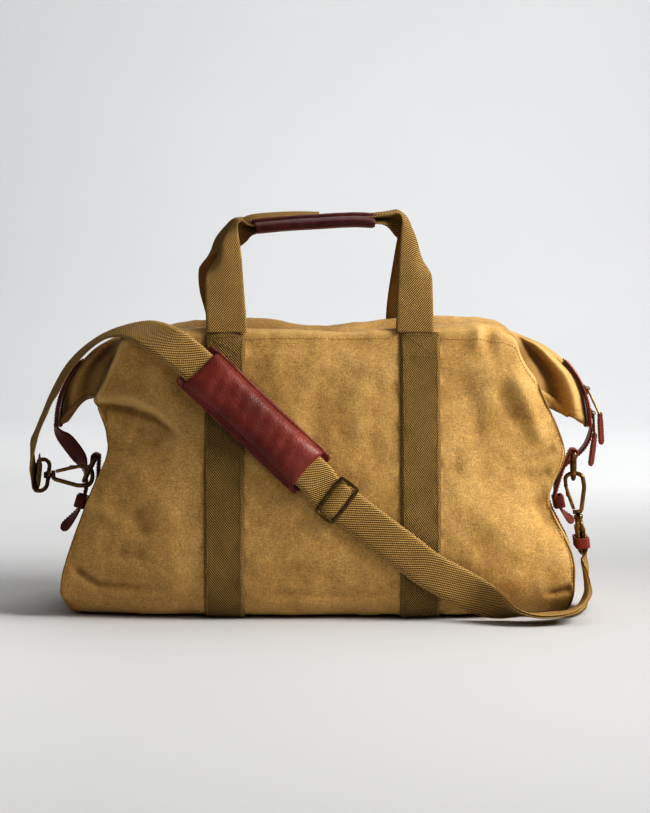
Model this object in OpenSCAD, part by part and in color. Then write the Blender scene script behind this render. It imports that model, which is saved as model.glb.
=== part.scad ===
// Weekend duffel bag: a canvas body whose zip ends fold down into wings, two
// webbing carry handles, and a clip-on shoulder strap with a leather pad.
// Frame: +Z up, X along the bag, -Y is the front. The origin is the centre of
// the base, on the surface that the bag stands on. Millimetres.

/* [Body] */
// Thickness of the canvas with its backing
canvas_t = 2.4; // [1.6:0.2:3.0]
// Half of the depth at the middle of the front, at its fullest height
body_half_depth = 127; // [124:1:130]
// Height of the front top edge at the middle
crest_h = 288; // [286:1:290]

/* [Webbing] */
// Width of the handle webbing
handle_web_w = 40; // [38:1:42]
// Width of the shoulder strap webbing
strap_web_w = 38; // [36:1:38]
// Thickness of the webbing
web_t = 2.0; // [1.6:0.2:2.2]

/* [Handles] */
// Height of the grip axis above the ground
grip_h = 398; // [394:1:402]
// Length of the leather grip
grip_len = 122; // [110:1:126]

/* [Metal] */
// Wire radius of the D-rings and hooks
wire_r = 2.1; // [1.8:0.1:2.2]

/* [Leather] */
// Thickness of the leather straps and tabs
leather_t = 2.4; // [2.0:0.2:2.6]
// Width of the closing straps at the ends
closing_strap_w = 20; // [16:1:22]

/* [Hidden] */

canvas_colour = "#b48a4c";
webbing_colour = "#7a6238";
leather_colour = "#6e2c26";
brass_colour = "#6b5426";
lining_colour = "#8d8468";
zip_colour = "#4a3c24";

// ---------------------------------------------------------------- curves
function mix(a, b, t) = a * (1 - t) + b * t;
function unit(v) = v / max(norm(v), 1e-9);
function flip(p, s) = [p[0] * s, p[1], p[2]];
function cubic(a, b, c, d, t) =
    0.5 * (2 * b + (c - a) * t + (2 * a - 5 * b + 4 * c - d) * t * t
           + (3 * b - a - 3 * c + d) * t * t * t);
// A smooth curve through the points, at u from 0 to the number of spans.
function along(p, u) =
    let (n = len(p) - 1, k = min(floor(u), n - 1))
    cubic(k > 0 ? p[k - 1] : 2 * p[0] - p[1], p[k], p[k + 1],
          k + 2 <= n ? p[k + 2] : 2 * p[n] - p[n - 1], u - k);
function surface_at(net, u, v) = along([for (row = net) along(row, u)], v);

// ------------------------------------------------------------ body surface
// Rows run from the middle of the bottom (0) up the front to the top edge,
// or crest (7), and over to the zip (9). Columns run out from the middle (0)
// to the end seam (7). Past column 3 the crest turns down as the wing's
// crease, and the zip row turns down as the wing's ridge.
centre_y = [0, -86, -117, -body_half_depth, -body_half_depth, -119, -104];
centre_z = [3, 3, 13, 52, 108, 168, 228];
column_x = [0, 70, 130, 172];
column_share = [0.36, 0.64, 0.85];
crest_front = [[0, -84, crest_h], [70, -85, crest_h + 1], [130, -85, crest_h + 1], [172, -82, crest_h]];
crest_rear = [[0, -84, crest_h - 1], [70, -85, crest_h + 8], [130, -85, crest_h + 8],
              [172, -82, crest_h + 3]];
top_mid = [[0, -44, 280], [70, -45, 286], [130, -45, 292], [172, -42, 292]];
zip_line = [[0, -5, 276], [70, -5, 284], [130, -5, 292], [172, -5, 292]];
// The shoulder strap's weight lowers the top at the left end.
left_sink = [0, 0, 3, 6];

// The wings' ridges, and so the zip's two ends, follow an arc.
ridge_r = 96;
ridge_right = [183, 190];
ridge_left = [-183, 190];
ridge_angles = [72, 50, 26, -2];
function on_ridge(centre, s, r, angle) = [centre[0] + s * r * cos(angle), 0, centre[1] + r * sin(angle)];
function ridge_point(angle) = [183 + ridge_r * cos(angle), -5, 190 + ridge_r * sin(angle)];
ridge_row = [for (a = ridge_angles) ridge_point(a)];

// Each side: end seam rows 0 to 7, then the wing's rows 7, 8 and 9 at
// columns 4 to 7, then the middle line of the end gusset. X is outward.
seam_left = [
    [254, 0, 4], [254, -72, 4], [261, -94, 13], [266, -102, 30],
    [258, -100, 66], [236, -90, 126], [219, -80, 170], [232, -72, 216]];
wing_left = [
    [[202, -78, 279], [213, -77, 259], [223, -75, 237], [232, -72, 216]],
    [[208, -36, 281], [232, -36, 264], [247, -36, 244], [254, -34, 221]],
    ridge_row];
gusset_left = [
    [258, 0, 4], [258, 0, 4], [267, 0, 13], [273, 0, 30],
    [258, 0, 68], [231, 0, 126], [221, 0, 170], [216, 0, 210], [247, 0, 214], [268, 0, 192]];
seam_right = [
    [246, 0, 4], [246, -72, 4], [252, -94, 13], [255, -102, 32],
    [253, -98, 64], [230, -86, 119], [246, -82, 168], [220, -74, 236]];
wing_right = [
    [[195, -79, 282], [202, -78, 266], [210, -77, 250], [220, -74, 236]],
    [[204, -34, 284], [224, -34, 266], [240, -36, 242], [249, -32, 209]],
    ridge_row];
gusset_right = [
    [250, 0, 4], [250, 0, 4], [257, 0, 13], [262, 0, 32],
    [258, 0, 64], [235, 0, 116], [238, 0, 166], [212, 0, 222], [236, 0, 222], [268, 0, 192]];

function lower_point(seam, c, r) =
    c == 7 ? seam[r] :
    let (x = c < 4 ? column_x[c] : mix(column_x[3], seam[r][0], column_share[c - 4]),
         w = pow(x / seam[r][0], 2.6))
    [x, mix(centre_y[r], seam[r][1], w), mix(centre_z[r], seam[r][2], w)];
function side_point(seam, wing, crest, sink, c, r) =
    r < 7 ? lower_point(seam, c, r) :
    c > 3 ? wing[r - 7][c - 4] :
    (r == 7 ? crest[c] : r == 8 ? top_mid[c] : zip_line[c]) - [0, 0, sink[c]];
function body_net(crest) = [for (r = [0:9]) concat(
    [for (c = [7:-1:1]) flip(side_point(seam_left, wing_left, crest, left_sink, c, r), -1)],
    [for (c = [0:7]) side_point(seam_right, wing_right, crest, 0 * left_sink, c, r)])];
front_net = body_net(crest_front);
rear_net = [for (row = body_net(crest_rear)) [for (p = row) [p[0], -p[1], p[2]]]];

function gusset_row(seam, wing, centre, s, r) =
    let (edge = r < 7 ? seam[r] : wing[r - 7][3],
         y = min(edge[1], -0.01 - (r == 0 ? 40 : 0)),
         mid = centre[r],
         half = [mix(edge[0], mid[0], 0.62), edge[1] * 0.5, mix(edge[2], mid[2], 0.62)])
    [flip(edge, s), flip(half, s), flip(mid, s), flip([half[0], -half[1], half[2]], s),
     flip([edge[0], -edge[1], edge[2]], s)];

// ---------------------------------------------------------- sheets, ribbons
columns_n = 34;
rows_n = 22;
row_at = [for (i = [0:rows_n]) 1 + 8 * i / rows_n];

function sampled(net) =
    [for (v = row_at) [for (i = [0:columns_n]) surface_at(net, 14 * i / columns_n, v)]];
function grid_normal(g, i, j) =
    let (n = len(g) - 1, m = len(g[0]) - 1)
    unit(cross(g[i][min(j + 1, m)] - g[i][max(j - 1, 0)], g[min(i + 1, n)][j] - g[max(i - 1, 0)][j]));
// The grid moved along its normals by d; s turns the normals outward.
function moved(g, s, d) =
    [for (i = [0:len(g) - 1]) [for (j = [0:len(g[0]) - 1]) g[i][j] + d * s * grid_normal(g, i, j)]];
function normal_at(net, s, u, v) =
    let (e = 0.04)
    s * unit(cross(surface_at(net, u + e, v) - surface_at(net, u - e, v),
                   surface_at(net, u, v + e) - surface_at(net, u, v - e)));

front_grid = sampled(front_net);
rear_grid = sampled(rear_net);

// A closed sheet between two grids of the same size.
module sheet_between(outer, inner) {
    n = len(outer);
    m = len(outer[0]);
    k = n * m;
    points = concat([for (row = outer) each row], [for (row = inner) each row]);
    function quad(a, b, c, d) = [[a, c, b], [a, d, c]];
    faces = concat(
        [for (i = [0:n - 2], j = [0:m - 2])
            each quad(i * m + j, i * m + j + 1, (i + 1) * m + j + 1, (i + 1) * m + j)],
        [for (i = [0:n - 2], j = [0:m - 2])
            each quad(k + i * m + j, k + (i + 1) * m + j, k + (i + 1) * m + j + 1, k + i * m + j + 1)],
        [for (i = [0:n - 2]) each quad(i * m, (i + 1) * m, k + (i + 1) * m, k + i * m)],
        [for (i = [0:n - 2])
            each quad(i * m + m - 1, k + i * m + m - 1, k + (i + 1) * m + m - 1, (i + 1) * m + m - 1)],
        [for (j = [0:m - 2]) each quad(j, k + j, k + j + 1, j + 1)],
        [for (j = [0:m - 2])
            each quad((n - 1) * m + j, (n - 1) * m + j + 1, k + (n - 1) * m + j + 1, k + (n - 1) * m + j)]);
    polyhedron(points, faces);
}

// A bar through points p with face normals q, of width w and thickness t,
// in n steps. w and t may be lists that vary along the bar. With 4 corners
// it is a flat strap; with more it is rounded.
module bar_along(p, q, w, t, n, corners = 4) {
    spans = len(p) - 1;
    stretch = corners == 4 ? sqrt(2) : 1;
    function size(s, u) = is_list(s) ? max(along(s, u), 0.5) : s;
    function tangent(u) = unit(along(p, min(u + 0.02, spans)) - along(p, max(u - 0.02, 0)));
    rings = [for (i = [0:n])
        let (u = spans * i / n, c = along(p, u), d = tangent(u), f0 = along(q, u),
             f = unit(f0 - (f0 * d) * d), side = cross(d, f),
             a = stretch * size(w, u) / 2, b = stretch * size(t, u) / 2)
        [for (k = [0:corners - 1])
            let (angle = 360 * (k + 0.5) / corners) c + a * cos(angle) * side + b * sin(angle) * f]];
    last = corners * n;
    faces = concat(
        [for (i = [0:n - 1], j = [0:corners - 1])
            let (k = (j + 1) % corners, a = corners * i, b = corners * (i + 1))
            each [[a + j, a + k, b + k], [a + j, b + k, b + j]]],
        [for (j = [1:corners - 2]) each [[0, j + 1, j], [last, last + j, last + j + 1]]]);
    polyhedron([for (r = rings) each r], faces);
}

// Children in a frame at a point, with X along d and Z along the face normal n.
module placed(at, d, n) {
    x = unit(d);
    z = unit(n - (n * x) * x);
    y = cross(z, x);
    translate(at) rotate([atan2(y[2], z[2]), asin(-x[2]), atan2(x[1], x[0])]) children();
}

// Round wire along points that lie in one plane with the given normal. Open
// wire has flat ends; closed wire joins its last point to its first.
module wire(points, r, normal = [0, 0, 1], closed = false) {
    sides = 20;
    up = unit(normal);
    n = len(points);
    rings = [for (i = [0:n - 1])
        let (before = closed || i > 0 ? unit(points[i] - points[(i + n - 1) % n])
                                      : unit(points[1] - points[0]),
             after = closed || i < n - 1 ? unit(points[(i + 1) % n] - points[i]) : before,
             side = cross(unit(before + after), up) / (norm(before + after) / 2))
        [for (k = [0:sides - 1]) points[i] + r * (cos(360 * k / sides) * side + sin(360 * k / sides) * up)]];
    last = sides * (n - 1);
    walls = [for (i = [0:(closed ? n - 1 : n - 2)], j = [0:sides - 1])
        let (k = (j + 1) % sides, a = sides * i, b = sides * ((i + 1) % n))
        each [[a + j, a + k, b + k], [a + j, b + k, b + j]]];
    ends = closed ? [] : [for (j = [1:sides - 2]) each [[0, j + 1, j], [last, last + j, last + j + 1]]];
    polyhedron([for (ring = rings) each ring], concat(walls, ends));
}

// A plate lying on the local XY plane, with rounded corners.
module plate(length, width, thickness, corner) {
    linear_extrude(thickness) difference() {
        square([length, width], center = true);
        for (sx = [-1, 1], sy = [-1, 1]) translate([sx * length / 2, sy * width / 2]) difference() {
            square(2 * corner, center = true);
            translate([-sx * corner, -sy * corner]) circle(r = corner, $fn = 48);
        }
    }
}

// A flat loop of leather: long and wide outside, with walls of the given thickness.
module loop_band(length, width, height, wall) {
    difference() {
        cube([length, width, height], center = true);
        cube([length + 2, width - 2 * wall, height - 2 * wall], center = true);
    }
}

// --------------------------------------------------------------- canvas
module panel(grid, s) {
    color(canvas_colour) sheet_between(s > 0 ? grid : moved(grid, s, -canvas_t),
                                       s > 0 ? moved(grid, s, -canvas_t) : grid);
}
module front_panel() { panel(front_grid, 1); }
module rear_panel() { panel(rear_grid, -1); }

gusset_span = 8;
function gusset_net(seam, wing, centre, s) = [for (r = [0:9]) gusset_row(seam, wing, centre, s, r)];
net_left = gusset_net(seam_left, wing_left, gusset_left, -1);
net_right = gusset_net(seam_right, wing_right, gusset_right, 1);
function gusset_grid(net) =
    [for (v = row_at) [for (i = [0:gusset_span]) surface_at(net, 4 * i / gusset_span, v)]];
module end_gusset_left() { panel(gusset_grid(net_left), -1); }
module end_gusset_right() { panel(gusset_grid(net_right), 1); }

base_t = 2.8;
base_length = 496;
base_width = 168;
module base_panel() { color(canvas_colour) plate(base_length, base_width, base_t, 26); }

board_t = 3;
module base_board() {
    color(lining_colour) translate([0, 0, 8]) plate(base_length - 40, base_width - 24, board_t, 20);
}

lining_gap = 5;
lining_t = 1.2;
lining_rows = 14;
lining_columns = 20;
module lining(net, s) {
    grid = [for (i = [0:lining_rows]) [for (j = [0:lining_columns])
        surface_at(net, 0.9 + 12.2 * j / lining_columns, 1.5 + 6.8 * i / lining_rows)]];
    near = moved(grid, s, -lining_gap);
    far = moved(grid, s, -lining_gap - lining_t);
    color(lining_colour) sheet_between(s > 0 ? near : far, s > 0 ? far : near);
}
module lining_front() { lining(front_net, 1); }
module lining_rear() { lining(rear_net, -1); }

// ------------------------------------------------------------------ zip
zip_left_half = [for (a = [-2:14:68]) on_ridge(ridge_left, -1, ridge_r, a)];
zip_right_half = [for (a = [68:-14:-2]) on_ridge(ridge_right, 1, ridge_r, a)];
zip_middle = [[-172, 0, 286], [-130, 0, 288.5], [-70, 0, 284], [0, 0, 276],
              [70, 0, 284], [130, 0, 291.5], [172, 0, 291.5]];
zip_path = concat(zip_left_half, zip_middle, zip_right_half);
zip_out = concat([for (a = [-2:14:68]) [-cos(a), 0, sin(a)]], [for (x = zip_middle) [0, 0, 1]],
                 [for (a = [68:-14:-2]) [cos(a), 0, sin(a)]]);
function lifted(p, q, h) = [for (i = [0:len(p) - 1]) p[i] + h * unit(q[i])];
tape_drop = 3.4;
coil_t = 1.6;
module zip_tape() {
    color(zip_colour) bar_along(lifted(zip_path, zip_out, -tape_drop), zip_out, 26, 1, 110);
}
module zip_coil() {
    color(brass_colour) bar_along(lifted(zip_path, zip_out, -1), zip_out, 5, coil_t, 110);
}

// Leather facing over the zip's end on each wing, split beside the coil.
facing_t = 1.6;
module zip_facing(centre, s, top) {
    points = [for (a = [-2:10:top]) on_ridge(centre, s, ridge_r + 1.2, a)];
    normals = [for (a = [-2:10:top]) [s * cos(a), 0, sin(a)]];
    color(leather_colour) for (side = [-1, 1])
        bar_along([for (p = points) p + [0, side * 11, 0]], normals, 12, facing_t, 24);
}
module zip_facing_left() { zip_facing(ridge_left, -1, 48); }
module zip_facing_right() { zip_facing(ridge_right, 1, 48); }

slider_l = 11;
slider_w = 9;
slider_lift = ridge_r + 2.4;
upper_angle = 21;
lower_angle = 6;
pull_r = 0.9;
eye_r = 1.5;
eye_lift = 3.4;
// A slider's body and bridge at an angle on the right ridge.
module slider(angle) {
    color(brass_colour) placed(on_ridge(ridge_right, 1, slider_lift, angle),
                               [-sin(angle), 0, cos(angle)], [cos(angle), 0, sin(angle)]) {
        plate(slider_l, slider_w, 2.2, 2.4);
        translate([0, 1.4, eye_lift]) rotate([90, 0, 0]) difference() {
            cylinder(h = 2.8, r = eye_r + 1.2, $fn = 48);
            translate([0, 0, -1]) cylinder(h = 6, r = eye_r, $fn = 48);
        }
    }
}
// The eye that a pull hangs in.
function eye(angle) = on_ridge(ridge_right, 1, slider_lift + eye_lift, angle);
// A wire link that hangs from the eye, then a leather tab on its end.
module pull_wire(angle, low) {
    top = eye(angle);
    color(brass_colour)
        wire([top + [0, -3, 0], top + [0, 3, 0], low + [0, 3, 0], low + [0, -3, 0]], pull_r,
             cross(low - top, [0, 1, 0]), closed = true);
}
module pull_tab(low, tip) {
    color(leather_colour) placed((low + tip) / 2, tip - low, [1, 0, 0]) translate([0, 0, -1.4])
        difference() {
            plate(norm(tip - low) + 8, 8, 2.8, 3.2);
            translate([-norm(tip - low) / 2, 0, 1.4]) rotate([90, 0, 0])
                cylinder(h = 12, r = pull_r + 0.05, center = true, $fn = 32);
        }
}
upper_low = [290.5, -8, 199];
upper_tip = [292, -8.5, 172];
lower_low = [286.5, 5, 176];
lower_tip = [283, 5.5, 148];
module zip_slider_upper() { slider(upper_angle); }
module zip_slider_lower() { slider(lower_angle); }
module zip_pull_upper() { pull_wire(upper_angle, upper_low); }
module zip_pull_lower() { pull_wire(lower_angle, lower_low); }
module zip_tab_upper() { pull_tab(upper_low, upper_tip); }
module zip_tab_lower() { pull_tab(lower_low, lower_tip); }

// ------------------------------------------------------- webbing handles
band_lift = web_t / 2 + 0.5;
module band(net, s, u) {
    rows = [for (v = [1.15:0.2:6.95]) v];
    normals = [for (v = rows) normal_at(net, s, u, v)];
    points = [for (i = [0:len(rows) - 1]) surface_at(net, u, rows[i]) + band_lift * normals[i]];
    color(webbing_colour) bar_along(points, normals, handle_web_w, web_t, 60);
}
module band_front_left() { band(front_net, 1, 5.53); }
module band_front_right() { band(front_net, 1, 8.45); }
module band_rear_left() { band(rear_net, -1, 5.43); }
module band_rear_right() { band(rear_net, -1, 8.27); }

// A handle: two legs that lean in, fold in half, and meet in the grip.
handle_x_front = [-97, -98, -100, -98, -94, -87, -74, -40, -7, 30, 58, 73, 82, 88, 92, 93, 94];
handle_x_rear = [-104, -109, -115, -115, -109, -98, -78, -40, -7, 30, 58, 72, 80, 84, 86, 86, 86];
handle_y = [89, 78, 64, 49, 33, 20, 15, 14, 14, 14, 14, 17, 28, 43, 62, 78, 89];
handle_z = [-102, -78, -52, -29, -10, -1, -3, 0, 2, 4, 3, 3, -5, -22, -48, -78, -102];
handle_w = [1, 1, 1, 0.97, 0.72, 0.55, 0.45, 0.45, 0.45, 0.45, 0.45, 0.55, 0.72, 0.97, 1, 1, 1];
handle_t = [1, 1, 1, 1.1, 1.6, 2, 2, 2, 2, 2, 2, 2, 1.6, 1.1, 1, 1, 1];
handle_out = [[0, 83, 55], [0, 83, 55], [0, 83, 55], [-12, 80, 60], [-40, 62, 66], [-50, 36, 78],
              [-12, 20, 98], [0, 15, 99], [0, 15, 99], [0, 15, 99], [12, 20, 98], [50, 36, 78],
              [40, 62, 66], [12, 80, 60], [0, 83, 55], [0, 83, 55], [0, 83, 55]];
function handle_points(xs, s, lift) =
    [for (i = [0:len(xs) - 1]) [xs[i], s * handle_y[i], grip_h + lift + handle_z[i]]];
function handle_normals(s) = [for (f = handle_out) [f[0], s * f[1], f[2]]];
module handle_webbing(xs, s, lift) {
    color(webbing_colour)
        bar_along(handle_points(xs, s, lift), handle_normals(s),
                  handle_web_w * handle_w, web_t * handle_t, 96);
}
grip_gap = 0.6;
grip_w = 26;
grip_t = 11;
grip_from = 6.1;
grip_spans = grip_len / 32.6;
module handle_grip(xs, s, lift) {
    points = [for (k = [0:16]) along(handle_points(xs, s, lift), grip_from + grip_spans * k / 16)];
    normals = [for (k = [0:16]) along(handle_normals(s), grip_from + grip_spans * k / 16)];
    color(leather_colour) difference() {
        bar_along(points, normals, grip_w, grip_t, 16, 20);
        bar_along(points, normals, handle_web_w * 0.45 + 2 * grip_gap, 2 * web_t + 2 * grip_gap, 16);
    }
}
module handle_webbing_front() { handle_webbing(handle_x_front, -1, 0); }
module handle_webbing_rear() { handle_webbing(handle_x_rear, 1, 4); }
module handle_grip_front() { handle_grip(handle_x_front, -1, 0); }
module handle_grip_rear() { handle_grip(handle_x_rear, 1, 4); }

// -------------------------------------------------- end straps and D-rings
tab_y = -17;
closing_y = 18;
// A leather strip sewn up the middle of each end gusset.
module end_strip(net, s) {
    rows = [for (v = [2.2:0.3:5.5]) v];
    across = 2.4;
    normals = [for (v = rows) normal_at(net, s, across, v)];
    points = [for (i = [0:len(rows) - 1])
        surface_at(net, across, rows[i]) + (leather_t / 2 + 1.2) * normals[i]];
    color(leather_colour) bar_along(points, normals, 24, leather_t, 30);
}
module end_strip_left() { end_strip(net_left, -1); }
module end_strip_right() { end_strip(net_right, 1); }

closing_right = [[283, 8, 190], [282, 10, 178], [276, 14, 164], [265, 17, 152], [253, closing_y, 141],
                 [247, closing_y, 128], [247, closing_y, 112], [251, closing_y, 100], [258, closing_y, 91],
                 [266, closing_y, 83]];
closing_right_out = [[1, 0, 0], [1, 0, 0], [1, 0, -0.4], [0.7, 0, -0.7], [0.7, 0, -0.7],
                     [1, 0, -0.2], [1, 0, 0.1], [0.8, 0, 0.6], [0.65, -0.2, 0.65], [0.5, -0.55, 0.5]];
closing_left = [[-283, 8, 190], [-279, 10, 180], [-270, 13, 169], [-259, 16, 153], [-253, closing_y, 139],
                [-251, closing_y, 124], [-254, closing_y, 110], [-259, closing_y, 98],
                [-268, closing_y, 86], [-278, closing_y, 75]];
closing_left_out = [[-1, 0, 0], [-0.9, -0.6, 0], [-0.5, -1, -0.3], [-0.5, -0.9, -0.3], [-1, -0.3, -0.2],
                    [-1, 0, 0], [-1, 0, 0.2], [-0.7, -0.1, 0.7], [-0.6, -0.35, 0.6], [-0.5, -0.55, 0.5]];
module closing_strap_left() {
    color(leather_colour) bar_along(closing_left, closing_left_out, closing_strap_w, leather_t, 40);
}
module closing_strap_right() {
    color(leather_colour) bar_along(closing_right, closing_right_out, closing_strap_w, leather_t, 40);
}
keeper_w = closing_strap_w + 6;
module strap_keeper_left() {
    color(leather_colour) placed([-255.5, closing_y, 106], [0.3, 0, 1], [-1, 0, 0.3])
        loop_band(11, keeper_w, 9, 2);
}
module strap_keeper_right() {
    color(leather_colour) placed([248.5, closing_y, 106], [-0.2, 0, 1], [1, 0, 0.2])
        loop_band(11, keeper_w, 9, 2);
}

ring_w = 25;
ring_h = 28;
bar_left = [-238, tab_y, 156];
bar_right = [262, tab_y, 161];
hang_left = unit([-12.5, 0, -25]);
hang_right = [0, 0, -1];
// A D-ring: a straight bar, two short sides and a half circle, hanging along d.
module d_ring(at, d) {
    half = ring_w / 2;
    side = ring_h - half;
    arc = [for (a = [90:-12:-90]) [side + half * cos(a), half * sin(a), 0]];
    color(brass_colour) placed(at, d, cross([0, 1, 0], d))
        wire(concat([[0, 1.6 - half, 0], [0, half - 1.6, 0], [1.6, half, 0]], arc, [[1.6, -half, 0]]),
             wire_r, closed = true);
}
module d_ring_left() { d_ring(bar_left, hang_left); }
module d_ring_right() { d_ring(bar_right, hang_right); }

// A leather tab: sewn to the gusset at its lower end and folded round a bar.
tab_bend = wire_r + leather_t / 2 + 0.3;
module ring_tab(at, s, foot, foot_out) {
    away = unit([foot[0] - at[0], 0, foot[2] - at[2]]);
    out = s * [-away[2], 0, away[0]];
    inner = [for (k = [22, 10, 0]) at + k * away - tab_bend * out];
    round = [for (a = [45, 90, 135]) at - tab_bend * (cos(a) * out + sin(a) * away)];
    outer = [at + tab_bend * out, at + 7 * away + tab_bend * out];
    normals = concat([for (p = inner) -out],
                     [for (a = [45, 90, 135]) -cos(a) * out - sin(a) * away], [out, out]);
    color(leather_colour) bar_along(concat([foot], inner, round, outer), concat([foot_out], normals),
                                    ring_w - 2 * wire_r - 1, leather_t, 48);
}
module ring_tab_left() { ring_tab(bar_left, -1, [-241, tab_y, 112], [1, 0, 0]); }
module ring_tab_right() { ring_tab(bar_right, 1, [241, tab_y, 112], [-1, 0, 0]); }

// ------------------------------------------------------------ snap hooks
hook_l = 41;
gate_from = 14;
gate_to = 37.5;
gate_r = 1.5;
// Local frame of a hook: X from its closed bend down to its swivel.
post_r = 2.2;
hook_bend = 6;
hook_side = 10.4;
module hook(at, d, n) {
    bend = [for (a = [-90:15:90]) [hook_bend * (1 - cos(a)), (hook_side - 0.6) * sin(a), 0]];
    color(brass_colour) placed(at, d, n) {
        wire(concat([[gate_from - 2.6, -hook_side + 0.3, 0]], bend, [[15, hook_side, 0],
                    [hook_l - 2, 4.2, 0], [hook_l, 2.6, 0], [hook_l, -5, 0]]), wire_r);
        translate([hook_l, 0, 0]) rotate([0, 90, 0]) cylinder(h = 8, r = post_r, $fn = 48);
        translate([hook_l + 8, 0, 0]) rotate([0, 90, 0]) cylinder(h = 1.8, r = 3.4, $fn = 48);
    }
}
// The sprung gate closes the hook's other side and swings inward.
module hook_gate(at, d, n) {
    color(brass_colour) placed(at, d, n) wire([[gate_from - 1.4, -hook_side, 0], [gate_to - 1.4, -4.8, 0]],
                                                gate_r);
}
// The loop that carries the webbing and turns on the hook's swivel.
loop_l = 12;
collar_l = 4.6;
module swivel_loop(at, d, n) {
    half = strap_web_w / 2 + wire_r + 1.3;
    color(brass_colour) placed(at, -d, n) {
        translate([loop_l, 0, 0]) rotate([0, 90, 0]) difference() {
            cylinder(h = collar_l, r = 4.6, center = true, $fn = 48);
            cylinder(h = 2 * collar_l, r = post_r + 0.06, center = true, $fn = 48);
        }
        wire([[loop_l, -3.4, 0], [loop_l, 8 - half, 0], [loop_l - 1.5, 3.5 - half, 0],
              [loop_l - 5, -half, 0], [1.6, -half, 0], [0, 1.6 - half, 0],
              [0, half - 1.6, 0], [1.6, half, 0], [loop_l - 5, half, 0],
              [loop_l - 1.5, half - 3.5, 0], [loop_l, half - 8, 0], [loop_l, 3.4, 0]],
             wire_r);
    }
}
hook_left_at = [-241.5, tab_y, 136];
hook_left_d = [-1, 0, 0.02];
hook_left_n = [0, -1, 0];
hook_right_at = [262.2, tab_y, 139];
hook_right_d = unit([0.12, 0, -0.993]);
hook_right_n = [-0.45, -0.89, -0.05];
swivel_reach = hook_l + 5.2 + loop_l;
web_bar_left = hook_left_at + swivel_reach * unit(hook_left_d);
web_bar_right = hook_right_at + swivel_reach * hook_right_d;
loop_left_n = [0, -0.66, 0.75];
loop_right_n = [1, 0, 0.12];
module hook_left() { hook(hook_left_at, hook_left_d, hook_left_n); }
module hook_right() { hook(hook_right_at, hook_right_d, hook_right_n); }
module hook_gate_left() { hook_gate(hook_left_at, hook_left_d, hook_left_n); }
module hook_gate_right() { hook_gate(hook_right_at, hook_right_d, hook_right_n); }
module swivel_loop_left() { swivel_loop(web_bar_left, hook_left_d, loop_left_n); }
module swivel_loop_right() { swivel_loop(web_bar_right, hook_right_d, loop_right_n); }

// -------------------------------------------------------- shoulder strap
pad_from = [-138, -103, 266];
pad_to = [-6, -132, 144];
pad_d = unit(pad_to - pad_from);
pad_n = [0, -0.965, 0.262];
adjuster_at = [14, -132.5, 123];
adjuster_d = unit([0.796, 0, -0.605]);
adjuster_n = [0, -1, 0];

// The webbing's turn round a hook's bar: it comes in along d and goes back.
turn_r = wire_r + web_t / 2 + 0.6;
turn_angles = [30, 60, 90, 120, 150];
function turn(at, d, e) = concat(
    [for (k = [26, 14, 5]) at + (turn_r - k / 18) * e - k * d, at + turn_r * e],
    [for (a = turn_angles) at + turn_r * (cos(a) * e + sin(a) * d)],
    [for (k = [0, 6, 15, 24]) at - turn_r * e - k * d]);
function turn_out(d, e) = concat(
    [e, e, e, e],
    [for (a = turn_angles) cos(a) * e + sin(a) * d],
    [-e, -e, -e, -e]);
function backwards(list) = [for (i = [len(list) - 1:-1:0]) list[i]];
left_d = unit([0, 0.66, -0.75]);
left_e = [1, 0, 0];
right_d = -hook_right_d;
right_e = [-0.993, 0, -0.12];
strap_left = [[-302.4, -38.5, 166], [-298, -41, 181], [-290, -36, 201], [-281, -28, 222], [-264, -26, 252],
              [-240, -30, 275], [-214, -44, 288.5], [-188, -71, 292], [-162, -96, 282]];
strap_left_out = [[-1, -0.15, -0.1], [-0.96, -0.24, 0], [-0.95, -0.28, 0.2], [-0.9, -0.28, 0.35],
                  [-0.76, -0.25, 0.6], [-0.52, -0.22, 0.83], [-0.3, -0.25, 0.93],
                  [-0.15, -0.5, 0.85], [-0.1, -0.85, 0.5]];
strap_pad = [for (k = [0, 0.3, 0.62, 0.88, 1]) mix(pad_from, pad_to, k)];
strap_diagonal = [for (k = [-13, 0, 30, 60, 90, 116]) adjuster_at + k * adjuster_d];
strap_right = [[140, -130, 34], [170, -135, 19], [205, -146, 8.5], [238, -138, 8.5], [257, -122, 13],
               [266, -100, 19], [271, -77, 23], [273.5, -57, 24], [274.6, -41, 26.5], [275.4, -28, 34],
               [275.7, -20, 45]];
strap_right_out = [[0, -1, 0], [0, -0.8, -0.5], [0, -0.15, -1], [0.05, -0.1, -1], [0.45, -0.3, -0.8],
                   [0.85, -0.4, -0.4], [1, -0.4, -0.1], [1, -0.35, 0], [1, -0.35, 0], [1, -0.33, 0],
                   [1, -0.25, 0.1]];
strap_points = concat(turn(web_bar_left, left_d, left_e), strap_left, strap_pad, strap_diagonal,
                      strap_right, backwards(turn(web_bar_right, right_d, right_e)));
strap_normals = concat(turn_out(left_d, left_e), strap_left_out, [for (k = strap_pad) pad_n],
                       [for (k = strap_diagonal) adjuster_n], strap_right_out,
                       backwards(turn_out(right_d, right_e)));
module shoulder_strap() {
    color(webbing_colour) bar_along(strap_points, strap_normals, strap_web_w, web_t, 260);
}

pad_l = 150;
pad_w = 50;
pad_gap = 1.4;
pad_at = (pad_from + pad_to) / 2 + [2, 0, -2];
module shoulder_pad() {
    slot_w = strap_web_w + 3;
    color(leather_colour) placed(pad_at, pad_d, pad_n) difference() {
        translate([0, 0, -web_t / 2 - pad_gap]) plate(pad_l, pad_w, web_t + 2 * pad_gap + 5, 7);
        cube([pad_l + 2, slot_w, web_t + 2 * pad_gap], center = true);
    }
}
backing_t = 1.6;
module pad_backing() {
    color(leather_colour) placed(pad_at, pad_d, pad_n)
        translate([0, 0, -web_t / 2 - pad_gap - backing_t - 0.05])
            plate(pad_l + 20, pad_w + 4, backing_t, 5);
}

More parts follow.
